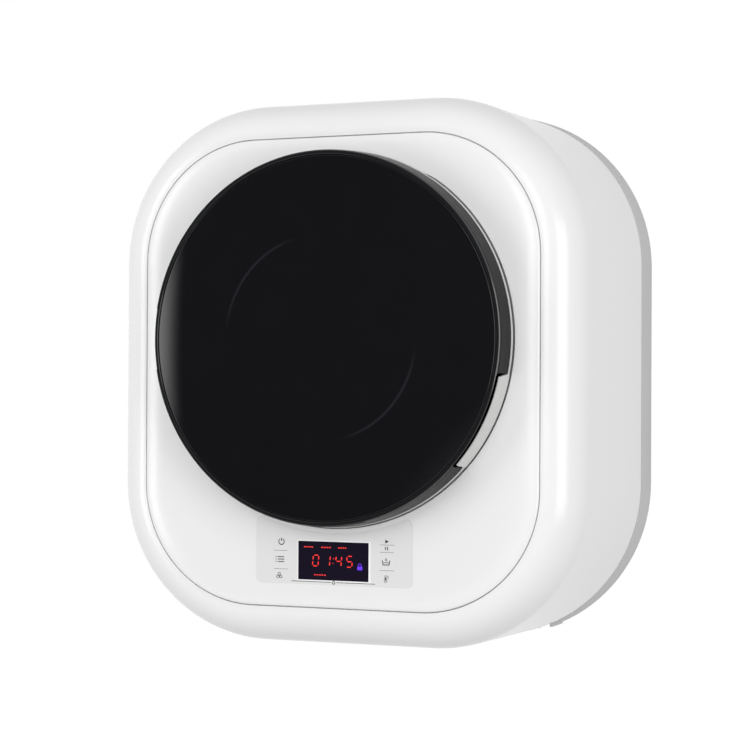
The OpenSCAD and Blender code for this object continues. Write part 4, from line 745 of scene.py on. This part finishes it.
# Control board and motor controller: a glass fibre board, glassy under its green lacquer,
# and a grainy grey cast box with cooling fins that drives the motor.
green_board = moulded_plastic("lacquered glass fibre board", "#2f6b4a", 0.35, 0.5, 0.02, 0.06)
cast_aluminium = worked_metal("sand cast aluminium", "#adafb2", 0.45, 1.2, relief_mm=0.08)
refined("control_board", green_board, edge_mm=0.1)
refined("motor_controller", cast_aluminium, edge_mm=0.4)

# Tub: two milky white polypropylene halves screwed together over a dull black seal.
# Inside sit the heater and a sensor. The shaft runs in two ball bearings behind a lip
# seal: ground steel is bright, and turned steel shows fine rings.
white_polypropylene = moulded_plastic("moulded white polypropylene", "#dcdedc", 0.42, 1.5, 0.05)
ground_steel = worked_metal("ground bearing steel", "#cfcfd2", 0.16, 0.3, (1.0, 8.0, 1.0), 0.003)
turned_steel = worked_metal("turned steel", "#a8a8aa", 0.25, 0.4, (1.0, 14.0, 1.0))
nitrile_rubber = moulded_rubber("moulded nitrile rubber", "#1b1b1b", 0.55)
black_polyamide = moulded_plastic("moulded black polyamide", "#232325", 0.45, 0.8, 0.03)
for node, material, edge_mm in (
    ("tub_rear", white_polypropylene, 0.0), ("tub_front", white_polypropylene, 0.0),
    ("tub_seal_ring", nitrile_rubber, 0.0), ("tub_screws", zinc_plated_steel, 0.2),
    ("tub_bolts", zinc_plated_steel, 0.3), ("rear_bearing", ground_steel, 0.2),
    ("front_bearing", ground_steel, 0.2), ("shaft_seal", nitrile_rubber, 0.2),
    ("heater", turned_steel, 0.0), ("temperature_sensor", black_polyamide, 0.2),
    ("pressure_switch", black_polyamide, 0.3), ("pressure_tube", nitrile_rubber, 0.0),
):
    refined(node, material, edge_mm)

# Water path: a dispenser with a lift-out cup behind the door, the inlet valve, the
# drain pump, and moulded hoses pushed on to their spigots. The cup is tinted, so that it
# is found at once, and the hoses are matt.
cup_polypropylene = moulded_plastic("moulded pale blue polypropylene", "#cfe0ea", 0.35, 1.5, 0.03)
pale_hose_rubber = moulded_rubber("moulded pale grey hose rubber", "#8c8e90", 0.5)
dark_hose_rubber = moulded_rubber("moulded dark grey hose rubber", "#3b3c3e", 0.55)
for node, material, edge_mm in (
    ("dispenser_housing", white_polypropylene, 0.3), ("detergent_cup", cup_polypropylene, 0.3),
    ("inlet_valve", white_polypropylene, 0.4), ("inlet_hose", pale_hose_rubber, 0.0),
    ("sump_hose", dark_hose_rubber, 0.0), ("pump_housing", black_polyamide, 0.4),
    ("pump_impeller", white_polypropylene, 0.2), ("drain_hose", dark_hose_rubber, 0.0),
    ("drain_spigot", black_polyamide, 0.3),
):
    refined(node, material, edge_mm)

# Drive: a motor in a dark case on a pressed bracket turns the drum's cast pulley through
# a dull ribbed belt. The stoved enamel has a soft sheen, and turned faces are bright.
dark_enamel = moulded_plastic("dark stoved enamel on steel", "#4c4f53", 0.35, 2.5, 0.02)
belt_rubber = moulded_rubber("ribbed belt rubber", "#161616", 0.6)
for node, material, edge_mm in (
    ("motor_case", dark_enamel, 0.4), ("motor_bracket", zinc_plated_steel, 0.3),
    ("bracket_screws", zinc_plated_steel, 0.2), ("motor_rotor", turned_steel, 0.3),
    ("motor_pulley", turned_steel, 0.2), ("drive_belt", belt_rubber, 0.0),
    ("drum_pulley", cast_aluminium, 0.3), ("drum_shaft", turned_steel, 0.3),
    ("drum_spider", cast_aluminium, 0.5),
):
    refined(node, material, edge_mm)

# Drum: stainless steel sheet, rolled round, seamed to its front ring and its pressed
# back. The rolling marks draw the light out along it, and the pickled back stays dull.
# Three white lifters are clipped inside.
stainless_sheet = worked_metal("rolled stainless sheet", "#c4c5c7", 0.32, 0.5, (1.0, 12.0, 1.0))


def punched_tile(width, length, hole_radius, thickness, steps=16):
    """One square of sheet with a round hole, closed inside the hole and open at its four sides."""
    quarter = steps // 4
    rim = []
    for ax, ay, bx, by in ((-1, -1, 1, -1), (1, -1, 1, 1), (1, 1, -1, 1), (-1, 1, -1, -1)):
        for i in range(quarter):
            t = i / quarter
            rim.append(((ax + (bx - ax) * t) * width / 2, (ay + (by - ay) * t) * length / 2))
    hole = [(hole_radius * math.cos(math.radians(225 + 360 * i / steps)),
             hole_radius * math.sin(math.radians(225 + 360 * i / steps))) for i in range(steps)]
    shape = bmesh.new()
    skin(shape, [[(x, y, z) for x, y in points] for points, z in (
        (rim, 0.0), (hole, 0.0), (hole, -thickness), (rim, -thickness))], round_again=False, caps=False)
    mesh = bpy.data.meshes.new("punched tile")
    shape.to_mesh(mesh)
    shape.free()
    return linked("punched tile", mesh)


def bent_sheet():
    """Rows of punched tiles, every other row half a tile on, welded and rolled round the drum's axis."""
    group, given = node_group("punched drum sheet", Tile="Object", Columns="Int", Rows="Int", Wide="Float",
                              Deep="Float", HalfTile="Float", Radius="Float", AxisY="Float", AxisZ="Float",
                              Finish="Material")
    grid = add_node(group, "GeometryNodeMeshGrid", {
        "Size X": given["Wide"], "Size Y": given["Deep"],
        "Vertices X": given["Columns"], "Vertices Y": given["Rows"]})
    # The grid numbers its points column by column. As the number of rows is even, an odd
    # number stands for every other row.
    number = add_node(group, "GeometryNodeInputIndex")
    odd = add_node(group, "ShaderNodeMath", {0: number.outputs[0], 1: 2.0}, operation="MODULO")
    step = add_node(group, "ShaderNodeMath", {0: odd.outputs[0], 1: given["HalfTile"]}, operation="MULTIPLY")
    by = add_node(group, "ShaderNodeCombineXYZ", {"X": step.outputs[0]})
    points = add_node(group, "GeometryNodeSetPosition", {
        "Geometry": grid.outputs["Mesh"], "Offset": by.outputs[0]})
    tile = add_node(group, "GeometryNodeObjectInfo", {"Object": given["Tile"]})
    tiles = add_node(group, "GeometryNodeInstanceOnPoints", {
        "Points": points.outputs[0], "Instance": tile.outputs["Geometry"]})
    real = add_node(group, "GeometryNodeRealizeInstances", {"Geometry": tiles.outputs[0]})
    # The flat sheet's X turns round the axis, its Y runs to the front, and its Z stands out.
    place = add_node(group, "GeometryNodeInputPosition")
    flat = add_node(group, "ShaderNodeSeparateXYZ", {0: place.outputs[0]})
    turn = add_node(group, "ShaderNodeMath", {0: flat.outputs["X"], 1: given["Radius"]}, operation="DIVIDE")
    out = add_node(group, "ShaderNodeMath", {0: flat.outputs["Z"], 1: given["Radius"]}, operation="ADD")
    front = add_node(group, "ShaderNodeMath", {0: flat.outputs["Y"], 1: -1.0}, operation="MULTIPLY")
    arm = add_node(group, "ShaderNodeCombineXYZ", {"X": out.outputs[0], "Y": front.outputs[0]})
    rolled = add_node(group, "ShaderNodeVectorRotate", {
        "Vector": arm.outputs[0], "Axis": (0.0, -1.0, 0.0), "Angle": turn.outputs[0]},
        rotation_type="AXIS_ANGLE")
    axis = add_node(group, "ShaderNodeCombineXYZ", {"Y": given["AxisY"], "Z": given["AxisZ"]})
    bent = add_node(group, "GeometryNodeSetPosition", {
        "Geometry": real.outputs[0], "Position": rolled.outputs[0], "Offset": axis.outputs[0]})
    welded = add_node(group, "GeometryNodeMergeByDistance", {
        "Geometry": bent.outputs[0], "Distance": 0.00002})
    dressed = add_node(group, "GeometryNodeSetMaterial", {
        "Geometry": welded.outputs[0], "Material": given["Finish"]})
    add_node(group, "NodeGroupOutput", {"Mesh": dressed.outputs[0]})
    return group


shell_low, shell_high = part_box("drum_shell")
shell_r, shell_t = (shell_high[0] - shell_low[0]) / 2, 0.0008
shell_from, shell_to = -shell_high[1], -shell_low[1]
rear_band, front_band, bead, bead_half = 0.026, 0.024, 0.0016, 0.004
band_from, band_to = shell_from + rear_band, shell_to - front_band
hole_columns, hole_rows, hole_r = 96, 6, 0.0023
tile_across, tile_along = 2 * math.pi * shell_r / hole_columns, (band_to - band_from) / hole_rows
tile = punched_tile(tile_across, tile_along, hole_r, shell_t)
sheet = from_nodes(
    "drum_shell_punched", bent_sheet(), "drum", Tile=tile, Columns=hole_columns, Rows=hole_rows,
    Wide=(hole_columns - 1) * tile_across, Deep=(hole_rows - 1) * tile_along, HalfTile=tile_across / 2,
    Radius=shell_r, AxisY=-(band_from + band_to) / 2, AxisZ=door_axis_z, Finish=stainless_sheet)
bpy.data.objects.remove(tile)
for face in sheet.data.polygons:
    face.use_smooth = abs(face.normal.y) < 0.3
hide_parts("drum_shell")


def turned_to(profile, degrees, unit=1.0):
    """A profile of (radius, distance from the wall) as points at an angle round the door's axis."""
    c, s = math.cos(math.radians(degrees)), math.sin(math.radians(degrees))
    return [(r * unit * c, -z * unit, door_axis_z + r * unit * s) for r, z in profile]


def rolled_band(name, start, end, bead_at, steps=192):
    """The plain band at one end of the sheet, with a bead rolled into it."""
    line = [(shell_r - bead * deep, bead_at + bead_half * along) for deep, along in (
        (0.0, -1.0), (0.6, -0.5), (1.0, 0.0), (0.6, 0.5), (0.0, 1.0))]
    line = [(shell_r, start)] + line + [(shell_r, end)]
    profile = line + [(r - shell_t, z) for r, z in reversed(line)]
    shape = bmesh.new()
    skin(shape, [turned_to(profile, 360 * i / steps) for i in range(steps)])
    placed(name, shape, stainless_sheet, "drum", 40.0)


rolled_band("drum_shell_rear_band", shell_from, band_from, band_from - bead_half)
rolled_band("drum_shell_front_band", band_to, shell_to, band_to + bead_half)
refined("drum_front_ring", stainless_sheet)
pressed_stainless = worked_metal("pressed and pickled stainless sheet", "#bdbec0", 0.46, 0.8)
refined("drum_back_disc", pressed_stainless)
refined("drum_lifters", white_polypropylene, edge_mm=1.5, smooth_deg=40.0)

# Door gasket: one dull moulding of grey EPDM rubber between the tub's mouth and the
# panel's port, held by a sprung wire. Its lip lies on the bowl, and a fold lets the tub
# shake.
grey_epdm = moulded_rubber("moulded grey EPDM rubber", "#7f8284", 0.5)
refined("door_gasket", grey_epdm, edge_mm=0.6, smooth_deg=34.0)
refined("gasket_clamp", zinc_plated_steel)

# Door lock and hinge bracket: a sealed black lock, a dark spot behind the slot in the
# recess, and a folded bracket, cool grey with zinc, that is screwed to the recess floor.
refined("door_lock", black_polyamide, edge_mm=0.4)
refined("hinge_bracket", zinc_plated_steel, edge_mm=0.3)

# Door ring: dark grey ABS, turned in one sweep. Its front face is polished and mirrors
# the room. Its spark eroded wall is dull, and is coloured darker than the face as painted
# shade, so that it stays near black. Towards the lower right the wall is scooped out into a
# finger pocket, so that only the rim passes over the handle.
handle_from, handle_to = -11.0, -42.0
hinge_half_deg = 9.6


def turned_rows(rows, closed=True):
    """Skins a closed profile in millimetres that changes with the angle; rows are (degrees, profile)."""
    shape = bmesh.new()
    skin(shape, [turned_to(profile, degrees, mm) for degrees, profile in rows], closed)
    bmesh.ops.remove_doubles(shape, verts=shape.verts, dist=1e-6)
    return shape


def blended(shut, opened, share):
    """A profile between two others."""
    return [(a + (c - a) * share, b + (d - b) * share) for (a, b), (c, d) in zip(shut, opened)]


wall_shut = [
    (193.2, 282), (193.2, 285.5), (193.2, 288), (189.9, 306), (186.4, 307.5), (186.4, 309.7),
    (192.3, 309.7), (192.3, 314.7), (192.6, 315), (195.6, 315.1), (196.4, 314.6), (196.9, 313.6),
    (197.2, 310), (197.4, 306.5), (197.75, 301.5), (198.4, 292), (198.8, 286.3), (198.5, 286),
    (196, 286), (196, 282),
]
wall_open = [
    (193.2, 282), (193.2, 285.5), (183, 285.5), (183, 309.4), (184.5, 309.5), (186.4, 309.7),
    (192.3, 309.7), (192.3, 314.7), (192.6, 315), (195.6, 315.1), (196.3, 314.6), (196.1, 313.5),
    (193.1, 308.4), (188, 308.4), (185, 305), (185, 290.5), (188, 287.5), (194.6, 287.5),
    (195.4, 287.3), (195.4, 282),
]
# Over the hinge only the rim is left: the wall's points are lifted to its underside.
rim_r, rim_under, rim_points = 195.4, 309.8, range(6, 12)
wall_over_hinge = [(min(r, rim_r), z if i in rim_points else max(z, rim_under))
                   for i, (r, z) in enumerate(wall_shut)]
handle_mid = (handle_from + handle_to) / 2
handle_half = (handle_from - handle_to) / 2
coarse_deg, fine_deg = 0.7, 0.05


def past_handle(shut, opened, low, high, margin):
    """Rows from hinge to hinge, opened over the handle, and fine where the profile changes."""
    rows = []
    degrees = -180.0 + hinge_half_deg
    while degrees < 180.0 - hinge_half_deg + 0.01:
        off_mid = abs(degrees - handle_mid)
        rows.append((degrees, blended(shut, opened, 1.0 - ease(off_mid, low, high))))
        degrees += fine_deg if low - margin < off_mid < high + margin else coarse_deg
    return rows


ring_rows = past_handle(wall_shut, wall_open, low=handle_half - 0.2, high=handle_half + 0.35, margin=0.1)
ring_rows[-1] = (180.0 - hinge_half_deg, wall_shut)
hinge_steps, hinge_inset = 24, 0.02
for step in range(hinge_steps + 1):
    past_start = hinge_inset + 2 * (hinge_half_deg - hinge_inset) * step / hinge_steps
    ring_rows.append((180.0 - hinge_half_deg + past_start, wall_over_hinge))
ring_shape = turned_rows(ring_rows)
polished_beyond = 0.3125
# The wall's copy of the ABS gets a darker colour than the face's, as painted shade; their gloss differs as
# the mould's finish does.
satin_dark_abs = moulded_plastic("spark eroded dark grey ABS", "#0f0f11", 0.3, 2.0, 0.004, 0.02, shine=0.07)
polished_dark_abs = moulded_plastic("polished dark grey ABS", "#1b1b1d", 0.14, 2.0, 0.002, 0.02, shine=0.6)
for face in ring_shape.faces:
    face.material_index = int(-face.calc_center_median().y > polished_beyond)
door_ring = placed("door_ring_body", ring_shape, satin_dark_abs, "door", 26.0)
door_ring.data.materials.append(polished_dark_abs)
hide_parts("door_ring")

# Handle: the light grey base ring of the door, from which the handle's lip is drawn up
# as one satin moulding. Its ends run out in a low tongue.
base_flat = [
    (196.3, 282), (199.2, 282), (199.5, 282.3), (199.5, 284.2), (199.3, 284.7), (199.0, 284.8),
    (198.7, 284.9), (198.4, 285), (198.1, 285), (197.6, 285), (197.2, 285), (196.8, 285), (196.3, 284.9),
]
base_lip = [
    (196.3, 282), (199.7, 282), (200.0, 282.3), (200.0, 284.0), (199.85, 284.8), (199.65, 286.5),
    (197.75, 303.6), (197.45, 304.5), (196.9, 305.1), (196.3, 305.2), (195.8, 304.9), (195.4, 303.9),
    (196.5, 288),
]
base_rows = past_handle(base_flat, base_lip, low=handle_half - 0.55, high=handle_half + 0.15, margin=0.2)
base_shape = turned_rows(base_rows, closed=False)
satin_grey_abs = moulded_plastic("moulded satin light grey ABS", "#d2d2d1", 0.34, 1.0, 0.02, 0.02)
handle = placed("handle_insert_body", base_shape, satin_grey_abs, "door", 32.0)
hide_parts("handle_insert")

# Door glass: a domed disc of toughened glass, printed black on its back and bonded into
# the ring. Two faint arcs are a painted highlight: a lighter tone mixed into its colour where
# the bowl's clamp stands behind the print.
glass_r, rim_z, glass_rise, glass_t = 191.4, 316.0, 9.0, 4.0


def dome(t, z):
    """How far from the wall the glass is at a share t of its radius, with its rim at z."""
    return z + glass_rise * (1 - t * t)


glass_steps, around, front_z = 40, 256, rim_z - 2
front_side = [(glass_r * t, dome(t, front_z)) for t in (i / glass_steps for i in range(1, glass_steps - 1))]
edge_round = [(r, dome(r / glass_r, front_z)) for r in (188.5, 190.2, 190.7, 190.9)] + [
    (glass_r - inset, rim_z - under) for inset, under in ((0.15, 2.15), (0, 2.5), (0, 5.3), (0.6, 5.9))]
back_side = [((glass_r - 0.8) * t, dome(t, front_z - glass_t)) for t in (0.66, 0.33)]
glass_profile = front_side + edge_round + back_side
glass_shape = bmesh.new()
glass_loops = skin(
    glass_shape, [turned_to(glass_profile, 360 * step / around, mm) for step in range(around)], closed=False)
for end, z in ((0, dome(0, front_z)), (-1, dome(0, front_z - glass_t))):
    pole = glass_shape.verts.new((0, -z * mm, door_axis_z))
    for here, after in zip(glass_loops, glass_loops[1:] + glass_loops[:1]):
        glass_shape.faces.new((pole, here[end], after[end]))
clamp_arc_r, arc_soft, arc_towards = 0.1075, 0.0022, (0.76, -0.65, 0.0)


def black_printed_glass():
    """Polished glass over black print: a deep mirror, with faint arcs of painted highlight where the clamp
    stands behind it.
    """
    made = surface(
        "black printed toughened glass", (colour("#141417"), colour("#17171a")), (25.0, 3.0, 0.5),
        (5.0, 0.0, 0.5), (0.03, 0.03), (0.2, 0.0004), IOR=1.5)
    tree = made.node_tree
    place = add_node(tree, "ShaderNodeTexCoord")
    middle = add_node(tree, "ShaderNodeMapping", {
        "Vector": place.outputs["Object"], "Location": (0.0, 0.0, -door_axis_z)})
    parts = add_node(tree, "ShaderNodeSeparateXYZ", {"Vector": middle.outputs[0]})
    flat = add_node(tree, "ShaderNodeCombineXYZ", {"X": parts.outputs["X"], "Y": parts.outputs["Z"]})
    radius = add_node(tree, "ShaderNodeVectorMath", {0: flat.outputs[0]}, operation="LENGTH")
    off_line = add_node(tree, "ShaderNodeMath", {
        0: radius.outputs["Value"], 1: clamp_arc_r}, operation="SUBTRACT")
    off_line = add_node(tree, "ShaderNodeMath", {0: off_line.outputs[0]}, operation="ABSOLUTE")
    line = add_node(tree, "ShaderNodeMapRange", {
        "Value": off_line.outputs[0], "From Min": 0.0, "From Max": arc_soft, "To Min": 1.0, "To Max": 0.0},
        interpolation_type="SMOOTHSTEP")
    # The painted highlight is strongest along the diagonal from the upper left to the lower right.
    across = add_node(tree, "ShaderNodeVectorMath", {
        0: flat.outputs[0], 1: arc_towards}, operation="DOT_PRODUCT")
    lean = add_node(tree, "ShaderNodeMath", {
        0: across.outputs["Value"], 1: radius.outputs["Value"]}, operation="DIVIDE")
    lean = add_node(tree, "ShaderNodeMath", {0: lean.outputs[0]}, operation="ABSOLUTE")
    lobe = add_node(tree, "ShaderNodeMapRange", {
        "Value": lean.outputs[0], "From Min": 0.78, "From Max": 1.0}, interpolation_type="SMOOTHSTEP")
    shown = add_node(tree, "ShaderNodeMath", {0: line.outputs[0], 1: lobe.outputs[0]}, operation="MULTIPLY")
    base = tree.nodes["Principled BSDF"].inputs["Base Color"]
    # The arcs' lighter tone is painted into the base colour as a highlight.
    mix = add_node(tree, "ShaderNodeMix", {
        0: shown.outputs[0], 6: base.links[0].from_socket, 7: colour("#27272b")}, data_type="RGBA")
    tree.links.new(mix.outputs[2], base)
    return made


glass = placed("door_glass_body", glass_shape, black_printed_glass(), "door", 50.0)
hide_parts("door_glass")

# Inside of the door: a light grey frame carries the bowl under its clamp ring. The bowl
# is clear pressed glass, and the slight waves of the press bend what is seen through it.
# Hinge leaf, pin, hook and spring are steel.
refined("door_inner_frame", satin_grey_abs, edge_mm=0.4)
refined("bowl_clamp_ring", satin_grey_abs, edge_mm=0.3)
pressed_glass = surface(
    "pressed clear glass", (colour("#eef6f4"), colour("#eef6f4")), (22.0, 2.0, 0.5), (22.0, 2.0, 0.5),
    (0.02, 0.02), (0.25, 0.0006), Transmission_Weight=1.0, IOR=1.5)
refined("glass_bowl", pressed_glass, smooth_deg=50.0)
for node, material in (
    ("hinge_leaf", zinc_plated_steel), ("hinge_pin", ground_steel), ("latch_hook", zinc_plated_steel),
    ("latch_pin", ground_steel), ("latch_spring", ground_steel),
):
    refined(node, material, edge_mm=0.0 if node == "latch_spring" else 0.25)
